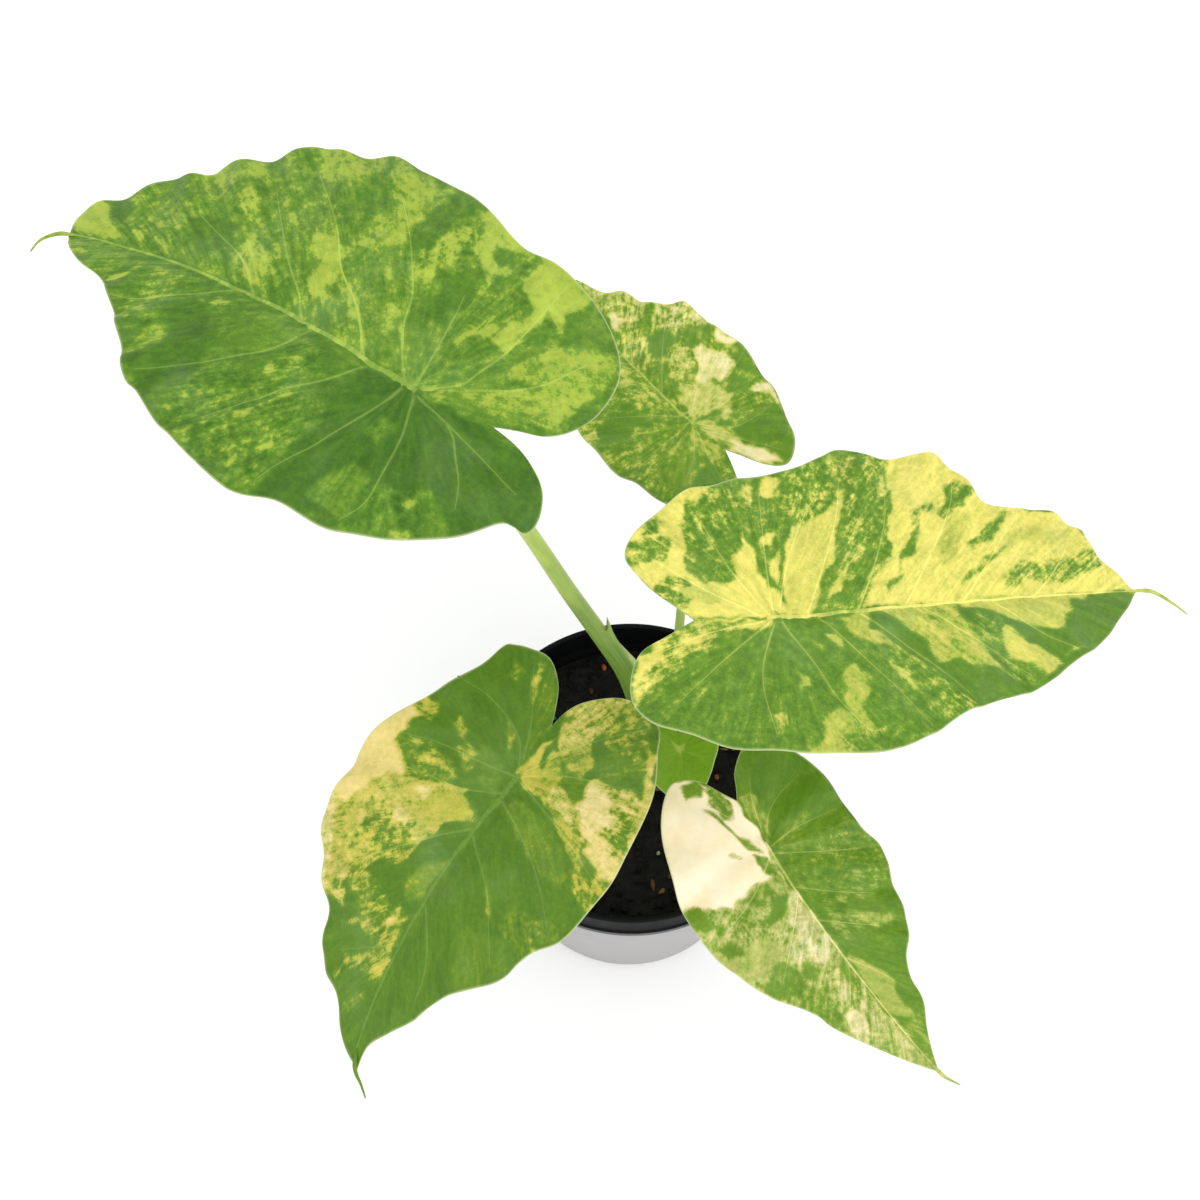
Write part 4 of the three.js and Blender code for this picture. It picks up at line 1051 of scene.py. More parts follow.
def blade_point(leaf, along, across, edge, relief=0.0):
    """The blade's middle surface. edge is 0 at the hub and 1 at the margin."""
    along = np.asarray(along, float)
    across = np.asarray(across, float)
    ahead_of_hub = along > 0
    bend = np.where(ahead_of_hub, leaf.bend, leaf.lobe_bend)
    swept = across + np.where(ahead_of_hub, leaf.sweep * along**2, 0)
    pitch = math.radians(leaf.pitch)
    lean = pitch + bend * along
    run = (np.sin(lean) - math.sin(pitch)) / bend
    rise = (np.cos(lean) - math.cos(pitch)) / bend
    cup = leaf.fold * (np.hypot(swept, FOLD_ROUNDING) - FOLD_ROUNDING)
    cup = cup - leaf.droop * swept**2 / DROOP_LENGTH
    ripple = leaf.wave * np.cos(2 * np.pi * (wave_place(leaf, along, across) + 0.5))
    outer = edge**3 * smooth((np.abs(across) - WAVE_START) / WAVE_GROWTH)
    lift = cup + ripple * outer + relief
    ahead, left = compass(leaf)
    up = np.array([0, 0, 1])
    return (
        np.array(leaf.hub, float)
        + ahead * (run + lift * np.sin(lean))[..., None]
        + up * (rise + lift * np.cos(lean))[..., None]
        + left * swept[..., None]
    )


def margin_sides(leaf, per_side):
    """The edge down the left side from notch to tip, and the right side the same way."""
    notch_is_left = math.hypot(*leaf.left[0]) < math.hypot(*leaf.right[0])
    notch = leaf.left[0] if notch_is_left else leaf.right[0]
    left = leaf.left if notch_is_left else [notch, *leaf.left]
    right = [notch, *leaf.right] if notch_is_left else leaf.right
    return [
        evenly(smooth_line([*side, leaf.tip], EDGE_SPAN_STEPS), per_side)
        for side in (left, right)
    ]


def edge_share(sides, along, across):
    """How far out towards the margin a place is, as a share of the way from the hub."""
    shares = []
    for margin, sign in zip(sides, (1, -1)):
        turn = np.unwrap(np.arctan2(margin[:, 1] * sign, margin[:, 0])[::-1])
        reach = np.hypot(*margin.T)[::-1]
        place_turn = np.arctan2(np.abs(across), along)
        shares.append(np.hypot(along, across) / np.interp(place_turn, turn, reach))
    return np.clip(np.where(across >= 0, *shares), 0, 1)


def grain_place(leaf, along, across, side):
    """Length along the side veins and place between them, which the mottling follows. The
    grain leaves the midrib steeply near the hub and leans more and more towards the tip."""
    inward = across * side
    straightened = along - GRAIN_CURVE * across**2
    origin = straightened - inward / math.tan(GRAIN_SLOPE)
    for _ in range(4):
        lean = GRAIN_SLOPE - GRAIN_LEAN * smooth(origin / leaf.tip[0])
        origin = (origin + straightened - inward / np.tan(lean)) / 2
    turn = np.arctan2(inward, along)
    turn = np.where(turn < -np.pi / 2, turn + 2 * np.pi, turn)
    ahead = origin > 0
    between = np.where(ahead, origin, -(turn - GRAIN_SLOPE) * GRAIN_FAN)
    length = np.where(ahead, inward * GRAIN_STRETCH, np.hypot(along, across))
    return np.stack([length * side, between, np.zeros_like(along)], axis=1)


def distance_to_line(along, across, line):
    """Each place's distance from a line of points."""
    place = np.stack([along, across], axis=1)
    nearest = np.full(len(place), np.inf)
    for start, end in zip(line, line[1:]):
        step = end - start
        share = np.clip((place - start) @ step / (step @ step), 0, 1)
        away = place - start - share[:, None] * step
        nearest = np.minimum(nearest, np.hypot(*away.T))
    return nearest


def inside_outline(along, across, outline):
    """How deep inside a closed outline each place lies, negative outside."""
    outline = np.asarray(outline, float)
    closed = np.vstack([outline, outline[:1]])
    depth = distance_to_line(along, across, closed)
    inside = np.zeros(len(along), bool)
    for (u1, v1), (u2, v2) in zip(closed, closed[1:]):
        crosses = (v1 > across) != (v2 > across)
        reach = (u2 - u1) * (across - v1) / (v2 - v1 + 1e-9) + u1
        inside ^= crosses & (along < reach)
    return np.where(inside, depth, -depth)


def vein_lines(leaf):
    """The side veins as even lines."""
    return [evenly(smooth_line(points, VEIN_SPAN_STEPS), VEIN_STEPS) for points in leaf.veins]


def vein_relief(leaf, veins, along, across, edge, settings):
    """How far the blade sinks along its veins and swells between them, and how near a vein
    each place is."""
    size = blade_size(leaf, RELIEF_BLADE)
    nearest = np.full(len(along), np.inf)
    for line in veins:
        nearest = np.minimum(nearest, distance_to_line(along, across, line))
    midrib = distance_to_line(along, across, np.array([(-4.0, 0.0), leaf.tip]))
    depth = settings.vein_depth / MM * size
    sunk = depth * (1 - 0.6 * edge) * np.exp(-((nearest / (VEIN_SINK_WIDTH * size)) ** 2))
    beside = np.maximum(midrib - 0.3 * leaf.midrib_width, 0)
    dip = np.exp(-((beside / (MIDRIB_SINK_WIDTH * size)) ** 2))
    sunk = sunk + MIDRIB_SINK_DEPTH * depth * dip
    sunk = sunk * smooth((np.hypot(along, across) - 2) / 8)
    bumps = value_noise(along / SWELL_WIDTH, across / SWELL_WIDTH, 3)
    swell = SWELL_HEIGHT * size * bumps * edge
    return swell - sunk, np.exp(-((np.minimum(nearest, midrib) / VEIN_GLOW_WIDTH) ** 2))


def paint(leaf, along, across):
    """The blade's tone, its speckle and the creaminess of its palest parts at each place."""
    size = blade_size(leaf, PATCH_BLADE)
    broad_width, broad_depth = BROAD_LOBES
    fine_width, fine_depth = FINE_LOBES
    moved = []
    for seed, place in ((11, along), (12, across)):
        broad = value_noise(along / broad_width + seed, across / broad_width, seed)
        fine = value_noise(along / fine_width, across / fine_width + seed, seed + 1)
        lobes = broad_depth * broad + fine_depth * fine
        moved.append(place + size * leaf.mottle**2 * lobes)
    moved_along, moved_across = moved
    tone = np.full(len(along), float(leaf.tone))
    speckle = np.full(len(along), float(leaf.speckle))
    cream = np.zeros(len(along))
    for patch_tone, patch_speckle, outline, *creamy in leaf.patches:
        patch_cream = creamy[0] if creamy else 0
        depth = inside_outline(moved_along, moved_across, outline)
        share = smooth((depth / leaf.mottle**2 + 1.0) / 2.0)
        tone += (patch_tone - tone) * share
        speckle += (patch_speckle - speckle) * share
        cream += (patch_cream - cream) * share
    away = np.hypot(along, across) / size
    speckle = speckle * (0.6 + 0.4 * smooth(away / 20))
    streaky = smooth((away - 12) / 35)
    return {"tone": tone, "speckle": speckle, "cream": cream, "streaky": streaky}


def place_marks(leaf, along, across, side):
    """The marks that follow from where each point lies on the blade."""
    marks = paint(leaf, along, across)
    marks["grain"] = grain_place(leaf, along, across, side)
    marks["place"] = np.stack([along, across, np.zeros_like(along)], axis=1)
    return marks


def sheet_faces(spokes, rings):
    """Faces of a sheet whose first point is its hub, with the rings in order after it."""
    k = np.arange(spokes)
    following = (k + 1) % spokes
    faces = np.stack([np.zeros(spokes, int), 1 + k, 1 + following], axis=1).tolist()
    for ring in range(rings - 1):
        a = 1 + ring * spokes
        b = a + spokes
        faces.extend(np.stack([a + k, b + k, b + following, a + following], axis=1).tolist())
    return faces


def thickened(middle, faces, half_thick, spokes):
    """A sheet's upper and then its lower points, and the faces of both and of its rim."""
    offset = vertex_normals(middle, faces) * half_thick[:, None]
    count = len(middle)
    last_ring = np.arange(count - spokes, count)
    following = np.roll(last_ring, -1)
    under = [[i + count for i in face[::-1]] for face in faces]
    rim = np.stack([last_ring, last_ring + count, following + count, following], axis=1)
    return np.vstack([middle + offset, middle - offset]), [*faces, *under, *rim.tolist()]


def blade_sheet(leaf, settings):
    """A blade from spokes and rings: points, faces and the marks its material reads."""
    share_of_largest = leaf.tip[0] / LARGEST_BLADE
    half = int(settings.spokes * min(1, share_of_largest + 0.08) / 2)
    rings = max(24, int(settings.rings * min(1, share_of_largest + 0.04)))
    sides = margin_sides(leaf, half)
    margin = np.vstack([sides[1], sides[0][::-1][1:-1]])
    side = np.concatenate([-np.ones(half + 1), np.ones(half - 1)])
    spokes = len(margin)
    reach = np.hypot(*margin.T)
    shares = [np.full(spokes, share) for share in np.linspace(0, 1, rings + 1)[1:-1]]
    shares += [1 - OUTER_RING / reach, np.ones(spokes)]
    along = np.concatenate([[0], *(margin[:, 0] * share for share in shares)])
    across = np.concatenate([[0], *(margin[:, 1] * share for share in shares)])
    edge = np.concatenate([[0], *shares])
    side = np.concatenate([[1], *[side] * len(shares)])
    reach = np.concatenate([[1], *[reach] * len(shares)])
    veins = vein_lines(leaf)
    relief, near_vein = vein_relief(leaf, veins, along, across, edge, settings)
    middle = blade_point(leaf, along, across, edge, relief)
    marks = place_marks(leaf, along, across, side)
    marks["vein"] = 0.2 * near_vein
    marks["rim"] = smooth((edge - 1 + RIM_LINE / reach) * reach / RIM_LINE)
    half_thick = settings.thickness / MM / 2 * np.where(edge == 1, MARGIN_THINNING, 1)
    points, faces = thickened(middle, sheet_faces(spokes, len(shares)), half_thick, spokes)
    marks = {name: np.concatenate([value, value]) for name, value in marks.items()}
    marks["underside"] = np.repeat([0.0, 1.0], len(middle))
    return points, faces, marks, sides, veins


def vein_tube(leaf, line, width, proud, paler, settings, sides, veins, first):
    """A vein: a slim ridge through the blade, a little proud on top and more underneath.
    proud is those two heights, and first the number of its first point in the mesh."""
    along, across = line.T
    edge = edge_share(sides, along, across)
    relief, _ = vein_relief(leaf, veins, along, across, edge, settings)
    middle = blade_point(leaf, along, across, edge, relief)
    ahead = blade_point(leaf, along + 0.5, across, edge, relief) - middle
    left = blade_point(leaf, along, across + 0.5, edge, relief) - middle
    normal = unit(np.cross(ahead, left))
    tangent = unit(np.gradient(middle, axis=0))
    beside = unit(np.cross(normal, tangent))
    turn = full_turn(VEIN_SIDES)
    half_thick = settings.thickness / MM / 2
    height = np.where(np.sin(turn) > 0, half_thick + proud[0], half_thick)
    deep = np.where(np.sin(turn) < 0, 1.0, 0.0)
    heights = np.sin(turn) * (height + deep * proud[1] * (width / width.max())[:, None])
    points = (
        middle[:, None]
        + beside[:, None] * (np.cos(turn)[None] * width[:, None] / 2)[..., None]
        + normal[:, None] * heights[..., None]
    ).reshape(-1, 3)
    faces = ring_faces(len(line), VEIN_SIDES, first)
    marks = place_marks(leaf, along, across, np.sign(across + 1e-9))
    marks["tone"] += paler
    marks["speckle"] *= 0.4
    marks["vein"] = np.ones(len(along))
    marks["rim"] = np.zeros(len(along))
    marks = {name: np.repeat(value, VEIN_SIDES, axis=0) for name, value in marks.items()}
    marks["underside"] = np.tile((np.sin(turn) < -0.1).astype(float), len(line))
    return points, faces, marks


def blade_tail(leaf, first):
    """The thin tail at the tip of the blade. It starts hidden under the blade, and has the
    tone of the blade near the tip."""
    along, across = smooth_line(leaf.tail, TAIL_SPAN_STEPS).T
    share = np.linspace(0, 1, len(along))
    line = blade_point(leaf, along, across, 0, -1.2 * (1 - smooth(share / 0.3)))
    radii = np.interp(share, [0, 0.25, 0.6, 1], [0.35, 1.0, 0.65, 0.3])
    points = round_tube(line, radii, TAIL_SIDES)
    near_tip = paint(leaf, np.full(2, leaf.tip[0] - 5), np.array([-2.5, 2.5]))
    looks = {
        "tone": near_tip["tone"].mean() + 0.2, "speckle": 0.2, "cream": 0.3, "vein": 0.3,
        "streaky": 0.0, "rim": 0.0, "underside": 0.0,
    }
    marks = {name: np.full(len(points), value) for name, value in looks.items()}
    marks["grain"] = points * 0.2
    marks["place"] = points * 0.2
    return points, ring_faces(len(line), TAIL_SIDES, first), marks


def make_blade(leaf, settings):
    """A whole blade: the sheet, the midrib, the side veins and the tail."""
    points, faces, marks, sides, veins = blade_sheet(leaf, settings)
    parts = [(points, marks)]
    first = len(points)
    size = blade_size(leaf, RELIEF_BLADE)
    midrib_along = np.linspace(-3, leaf.tip[0] - 4, MIDRIB_STEPS)
    midrib = np.stack([midrib_along, np.zeros(MIDRIB_STEPS)], axis=1)
    taper = np.linspace(0, 1, MIDRIB_STEPS)
    width = leaf.midrib_width * (1 - 0.78 * taper**0.8)
    ribs = [(midrib, width, (0.16, 1.1 * size), leaf.midrib_tone)]
    for line in veins:
        share = np.linspace(0, 1, len(line))
        slim = settings.vein_width / MM * (0.2 + 0.3 * leaf.midrib_width)
        slim = slim * (1 - 0.7 * share)
        ribs.append((line, slim, (0.1, 0.5 * size), 0.4 * leaf.midrib_tone))
    for line, width, proud, paler in ribs:
        rib_points, rib_faces, rib_marks = vein_tube(
            leaf, line, width, proud, paler, settings, sides, veins, first,
        )
        parts.append((rib_points, rib_marks))
        faces += rib_faces
        first += len(rib_points)
    tail_points, tail_faces, tail_marks = blade_tail(leaf, first)
    parts.append((tail_points, tail_marks))
    faces += tail_faces
    points = np.vstack([part[0] for part in parts])
    marks = {name: np.concatenate([part[1][name] for part in parts]) for name in marks}
    return new_piece(
        f"{leaf.node}_blade", points, faces, [blade_material(leaf, settings)], [leaf.node],
        marks,
    )


# Half the width of a soft and of a crisp step from one tone to the next, and how far a
# tone's colour drifts towards its neighbours
SOFT_STEP = 0.35
CRISP_STEP = 0.05
TONE_DRIFT = 0.28


def blend(first, second, share):
    """A colour part of the way from the first to the second."""
    return tuple(a + (b - a) * share for a, b in zip(first, second))


def tone_stops(leaf, palest):
    """The colour of each tone, nearly even within a tone. The step from mid green to lime is
    crisp, the steps from dark to mid green and from lime to the palest tone are soft."""
    tones = [leaf.dark, leaf.mid, leaf.lime, palest]
    stops = []
    for number, colour in enumerate(tones):
        below = tones[max(number - 1, 0)]
        above = tones[min(number + 1, 3)]
        start = SOFT_STEP if number in (1, 3) else CRISP_STEP
        end = SOFT_STEP if number in (0, 2) else CRISP_STEP
        stops.append(((number + start) / 4, blend(colour, below, TONE_DRIFT)))
        stops.append(((number + 1 - end) / 4, blend(colour, above, TONE_DRIFT)))
    return stops


def blade_material(leaf, settings):
    """Mottled leaf: four tones with ragged edges that follow the veins, pale veins and rim."""
    s = Shader(f"{leaf.node}_surface")
    grain = s.mark("grain", "Vector")
    place = s.mark("place", "Vector")
    cream = s.mark("cream")
    underside = s.mark("underside")
    streaks = s.noise(s.stretched(grain, (0.11, 0.34, 1)), 1 / leaf.mottle, 6.0, 0.68)
    blobs = s.noise(place, 0.24 / leaf.mottle, 7.0, 0.72)
    specks = s.noise(place, 0.45 / leaf.mottle, 5.0, 0.7)
    clouds = s.noise(s.stretched(grain, (0.05, 0.13, 1)), 1.0, 2.0)
    streaks = s.times(s.centred(streaks, 6.5), s.mark("streaky"))
    scatter = s.plus(streaks, s.centred(blobs, 7.5))
    tone = s.plus(s.times(scatter, s.mark("speckle")), s.mark("tone"))
    tone = s.plus(tone, s.centred(specks, 2.0 / leaf.mottle))
    tone = s.plus(tone, s.centred(clouds, 1.6))
    level = s.spread(tone, -0.5, 3.5, 0, 1)
    yellow = s.ramp(level, tone_stops(leaf, leaf.lemon))
    colour = s.mix(cream, yellow, s.ramp(level, tone_stops(leaf, settings.cream)))
    soft = s.noise(place, 0.055, 2.0)
    fibres = s.noise(s.stretched(grain, (0.12, 0.5, 1)), 1.0, 3.0)
    fibres = s.times(s.centred(fibres, 1.0), s.spread(cream, 0, 1, 0.3, 0.08))
    bright = s.plus(s.plus(s.centred(soft, 0.35), fibres), 1.0)
    colour = s.mix(1.0, colour, s.grey(bright), "MULTIPLY")
    blush = s.times(s.spread(s.noise(place, 0.05, 3.0), 0.42, 0.66, 0, 0.35), cream)
    colour = s.mix(blush, colour, tint(238, 206, 150), "MULTIPLY")
    # Painted sheen: soft greyish green patches at random places stand in for the glossy
    # reflection of the bright surroundings on the blade
    painted_sheen = s.spread(s.noise(place, 0.03, 3.0), 0.5, 0.74, 0, 0.12)
    colour = s.mix(painted_sheen, colour, tint(150, 172, 128))
    colour = s.mix(s.mark("vein"), colour, leaf.vein_light, "SCREEN")
    colour = s.mix(s.times(s.mark("rim"), 0.7), colour, settings.rim_colour)
    colour = s.mix(s.times(underside, 0.4), colour, settings.underside_colour)
    matte = s.spread(s.noise(place, 0.4, 3.0), 0.3, 0.7, 0.4, 0.5)
    rough = s.plus(s.times(underside, 0.15), matte)
    skin = s.noise(place, 1.6, 3.0)
    return s.finish(colour, rough, (skin, 0.00012, 0.35), Specular_IOR_Level=0.22)


# Stalks and trunk

# How far the sheath's free edge stands out of its stalk, by height. The edge's slim end rises
# past the last height and leans out.
SHEATH_REACH = [(130, 3), (165, 4.4), (195, 4.4), (213, 3.4), (223, 2.2), (230, 1.5),
                (236, 1.2), (242, 1.8)]
SHEATH_END_RISE = 14
SHEATH_END_LENGTH = 10
SHEATH_END_LEAN = 0.16
SHEATH_EDGE_STEPS = 1.6

# A stalk ends this far under its blade's middle. It has these steps from one given point to
# the next, and these sides without and with a sheath.
STALK_STOP = 0.5
STALK_SPAN_STEPS = 14
STALK_SIDES = 26
SHEATHED_SIDES = 48


def hub_normal(leaf):
    """The direction straight out of the blade's top at its hub."""
    pitch = math.radians(leaf.pitch)
    ahead, _ = compass(leaf)
    return np.array([0, 0, 1]) * math.cos(pitch) + ahead * math.sin(pitch)


def sheath_edge(heights, outward, around):
    """How far the sheath's free edge stands out of the stalk, ring by ring, and how far its
    end rises."""
    toward = int(np.argmax(outward[0] @ SHEATH_FACING))
    away = np.abs((np.arange(around) - toward + around // 2) % around - around // 2)
    thin = np.exp(-((away / SHEATH_EDGE_STEPS) ** 2))[None]
    levels, outs = zip(*SHEATH_REACH)
    below_end = (heights <= levels[-1])[:, None]
    out = np.interp(heights, levels, outs)[:, None] * below_end
    near_end = smooth((heights - levels[-1] + SHEATH_END_LENGTH) / SHEATH_END_LENGTH)
    return out * thin, SHEATH_END_RISE * near_end[:, None] * thin**2 * below_end


def make_stalk(leaf, material):
    """A stalk up to the underside of its blade. The oldest has a sheath with a free edge."""
    number = leaf.node[-1]
    normal = hub_normal(leaf)
    top = np.array(leaf.hub) - normal * STALK_STOP
    line, place = stalk_line([*leaf.stalk, tuple(top)], STALK_SPAN_STEPS)
    diameters = [*leaf.thick, leaf.thick[-1]]
    radii = np.interp(place, np.arange(len(diameters)), diameters) / 2
    around = SHEATHED_SIDES if leaf.sheath else STALK_SIDES
    tangents, sides, others = carried_frames(line)
    outward = outward_round(sides, others, around)
    reach = np.repeat(radii[:, None], around, axis=1)
    edge = np.zeros_like(reach)
    lifted = np.zeros_like(reach)
    if leaf.sheath:
        edge, lifted = sheath_edge(line[:, 2], outward, around)
    points = line[:, None] + outward * (reach + edge + SHEATH_END_LEAN * lifted)[..., None]
    points = points + tangents[:, None] * lifted[..., None]
    # The top is cut flat, along the underside of the blade
    share = -((points[-1] - line[-1]) @ normal) / (tangents[-1] @ normal)
    points[-1] = points[-1] + share[:, None] * tangents[-1]
    length = np.concatenate([[0], np.cumsum(np.linalg.norm(np.diff(line, axis=0), axis=1))])
    turn = full_turn(around)
    marks = {
        "rise": np.repeat(length / length[-1], around),
        "edge": (np.clip(edge / 2, 0, 1) ** 4).ravel(),
        "round": np.stack([
            np.repeat(length, around), np.tile(np.cos(turn) * 6, len(line)),
            np.tile(np.sin(turn) * 6, len(line)),
        ], axis=1),
    }
    return new_piece(
        f"stalk_{number}_stem", points.reshape(-1, 3), ring_faces(len(line), around),
        [material], [f"stalk_{number}"], marks,
    )


def stalk_material(settings):
    """Smooth green stalk, paler and yellower towards its blade, with fine long streaks."""
    s = Shader("stalk_surface")
    around = s.mark("round", "Vector")
    streaks = s.noise(s.stretched(around, (0.02, 0.9, 0.9)), 1.0, 4.0, 0.6)
    clouds = s.noise(s.stretched(around, (0.05, 0.12, 0.12)), 1.0, 3.0)
    place = s.plus(s.mark("rise"), s.centred(clouds, 0.5))
    colour = s.ramp(place, [
        (0.0, settings.stalk_base), (0.3, settings.stalk_base),
        (0.75, settings.stalk_top), (1.0, settings.stalk_top),
    ])
    pale = s.spread(streaks, 0.4, 0.7, 0, 0.14)
    colour = s.mix(pale, colour, tint(205, 220, 140))
    colour = s.mix(s.times(s.mark("edge"), 0.7), colour, tint(205, 220, 150))
    rough = s.spread(clouds, 0.3, 0.7, 0.36, 0.5)
    return s.finish(colour, rough, (streaks, 0.0002, 0.5), Specular_IOR_Level=0.45)


# Distance from one leaf scar of the trunk to the next, and the trunk's sides and steps
SCAR_STEP = 5.5
TRUNK_SIDES = 72
TRUNK_STEPS = 90


def trunk_material(settings):
    """Stem base: green above, brown and papery round the old leaf scars."""
    s = Shader("trunk_surface")
    place = s.place()
    scar = s.mark("scar")
    clouds = s.noise(place, 90, 4.0)
    fibres = s.noise(s.stretched(place, (1, 1, 0.15)), 700, 3.0)
    green = s.spread(clouds, 0.35, 0.65, 0, 1)
    colour = s.mix(green, settings.stalk_base, tint(128, 140, 74))
    brown = s.mix(fibres, tint(96, 78, 48), tint(150, 128, 84))
    colour = s.mix(scar, colour, brown)
    return s.finish(colour, s.spread(scar, 0, 1, 0.45, 0.8), (fibres, 0.0004, 0.6))


def make_trunk(material):
    """The short stem that the stalks leave, ringed by the scars of older leaves."""
    profile = [
        (0.01, TRUNK_BOTTOM), (TRUNK_RADIUS - 4, TRUNK_BOTTOM),
        (TRUNK_RADIUS - 0.5, TRUNK_BOTTOM + 9), (TRUNK_RADIUS, SOIL_TOP),
        (TRUNK_RADIUS, SOIL_TOP + 11), (TRUNK_RADIUS - 1.5, SOIL_TOP + 18),
        (TRUNK_RADIUS - 4.5, SOIL_TOP + 24), (TRUNK_RADIUS - 9.5, SOIL_TOP + 29),
        (0.01, SOIL_TOP + 31),
    ]
    line = evenly(np.array(rounded(profile, 3)), TRUNK_STEPS)
    points = turned_points(line, TRUNK_SIDES, (TRUNK_X, TRUNK_Y))
    outward = unit((points - [TRUNK_X, TRUNK_Y, 0]) * [1, 1, 0])
    turn = np.arctan2(outward[:, 1], outward[:, 0])
    tilt = points[:, 2] + 1.6 * np.sin(turn + 0.6) + 0.7 * np.sin(3 * turn)
    ring = np.cos(2 * np.pi * tilt / SCAR_STEP)
    radius = np.hypot(points[:, 0] - TRUNK_X, points[:, 1] - TRUNK_Y)
    fade = smooth(radius / 8) * smooth((points[:, 2] - SOIL_TOP + 4) / 6)
    scar = smooth((ring - 0.55) / 0.4) * fade
    rough = value_noise(turn * 7, points[:, 2] / 1.5, 5)
    inset = (0.35 * scar + 0.25 * np.abs(rough)) * fade
    points = points - outward * inset[:, None]
    return new_piece(
        "trunk_stem", points, ring_faces(len(line), TRUNK_SIDES), [material], ["trunk"],
        {"scar": scar},
    )


# Potting mix

# Gap between the mix and the pot, and the mix's sides and rings
SOIL_GAP = 0.3
SOIL_SIDES = 210
SOIL_TOP_RINGS = 76
SOIL_WALL_RINGS = 12

# Loose crumbs: seed, smallest and largest size, and shades as shares of the mix's colour
CRUMB_SEED = 7
CRUMB_SIZES = (0.6, 2.2)
CRUMB_SHADES = [0.5, 1, 1, 1.6, 2.6]

# Things that lie on the mix: place, half sizes and colour
SOIL_BITS = [
    (-13.5, 65.1, (2.0, 1.1, 1.3), tint(184, 104, 44)),
    (44.4, 4.4, (1.5, 1.4, 1.3), tint(176, 98, 42)),
    (13.7, -37.5, (2.2, 1.2, 1.0), tint(178, 182, 140)),
    (15.5, -57.4, (4.0, 1.6, 1.0), tint(150, 116, 74)),
    (11.0, -54.0, (3.2, 1.3, 0.9), tint(120, 88, 56)),
    (20.0, -49.0, (2.4, 1.2, 0.9), tint(104, 74, 46)),
    (-39.0, 36.4, (1.1, 1.0, 0.9), tint(40, 140, 110)),
    (50.5, 19.2, (4.6, 0.5, 0.5), tint(150, 130, 84)),
    (-30.0, 12.0, (2.2, 1.1, 0.8), tint(92, 66, 42)),
    (-20.0, 52.0, (2.6, 1.2, 0.8), tint(84, 60, 40)),
    (40.0, -30.0, (2.6, 1.4, 0.9), tint(88, 62, 40)),
]


def soil_bump(x, y):
    """The mix's broad unevenness, which its solid has too."""
    broad = 1.1 * np.sin(x / 11 + 1) * np.cos(y / 9 - 0.6)
    fine = 0.7 * np.sin((x + y) / 5.2) * np.sin((x - 1.3 * y) / 6.1 + 2)
    return broad + fine


def soil_edge_radius(height):
    """The mix's radius, a little inside the pot's tapered wall."""
    share = (height - POT_FLOOR) / (BAND_BOTTOM - 2 - POT_FLOOR)
    return INNER_BASE_RADIUS + (INNER_TOP_RADIUS - INNER_BASE_RADIUS) * share - SOIL_GAP


def soil_height(x, y):
    """The level of the mix before its crumbs."""
    inside = smooth((soil_edge_radius(SOIL_TOP) - np.hypot(x, y)) / 12)
    return SOIL_TOP + inside * soil_bump(x, y)


def crumb_height(x, y):
    """How far the crumbled top stands over soil_height."""
    lumps = np.maximum(value_noise(x / 4.2, y / 4.2, 1), -0.3)
    grains = value_noise(x / 1.9, y / 1.9, 2)
    return 1.5 * lumps + 0.6 * grains


def make_soil(material):
    """The mix with a crumbled top, filling the pot down to its floor."""
    edge = soil_edge_radius(SOIL_TOP)
    bottom = POT_FLOOR + SOIL_GAP
    levels = np.linspace(bottom, SOIL_TOP, SOIL_WALL_RINGS)[1:-1]
    sides = [(0.4, bottom), (soil_edge_radius(bottom), bottom)]
    sides += [(soil_edge_radius(level), level) for level in levels]
    profile = sides + [(r, SOIL_TOP) for r in np.linspace(edge, 0.4, SOIL_TOP_RINGS)]
    points = turned_points(profile, SOIL_SIDES)
    top = np.arange(len(points)) >= len(sides) * SOIL_SIDES
    x, y = points[top, 0], points[top, 1]
    inside = smooth((edge - np.hypot(x, y)) / 3)
    points[top, 2] = soil_height(x, y) + inside * crumb_height(x, y)
    return new_piece(
        "soil_mix", points, ring_faces(len(profile), SOIL_SIDES), [material], ["soil"],
    )


def lump(subdivisions):
    """A ball of triangles, as points and faces."""
    ball = bmesh.new()
    bmesh.ops.create_icosphere(ball, subdivisions=subdivisions, radius=1)
    points = np.array([v.co for v in ball.verts])
    faces = [[v.index for v in f.verts] for f in ball.faces]
    ball.free()
    return points, faces


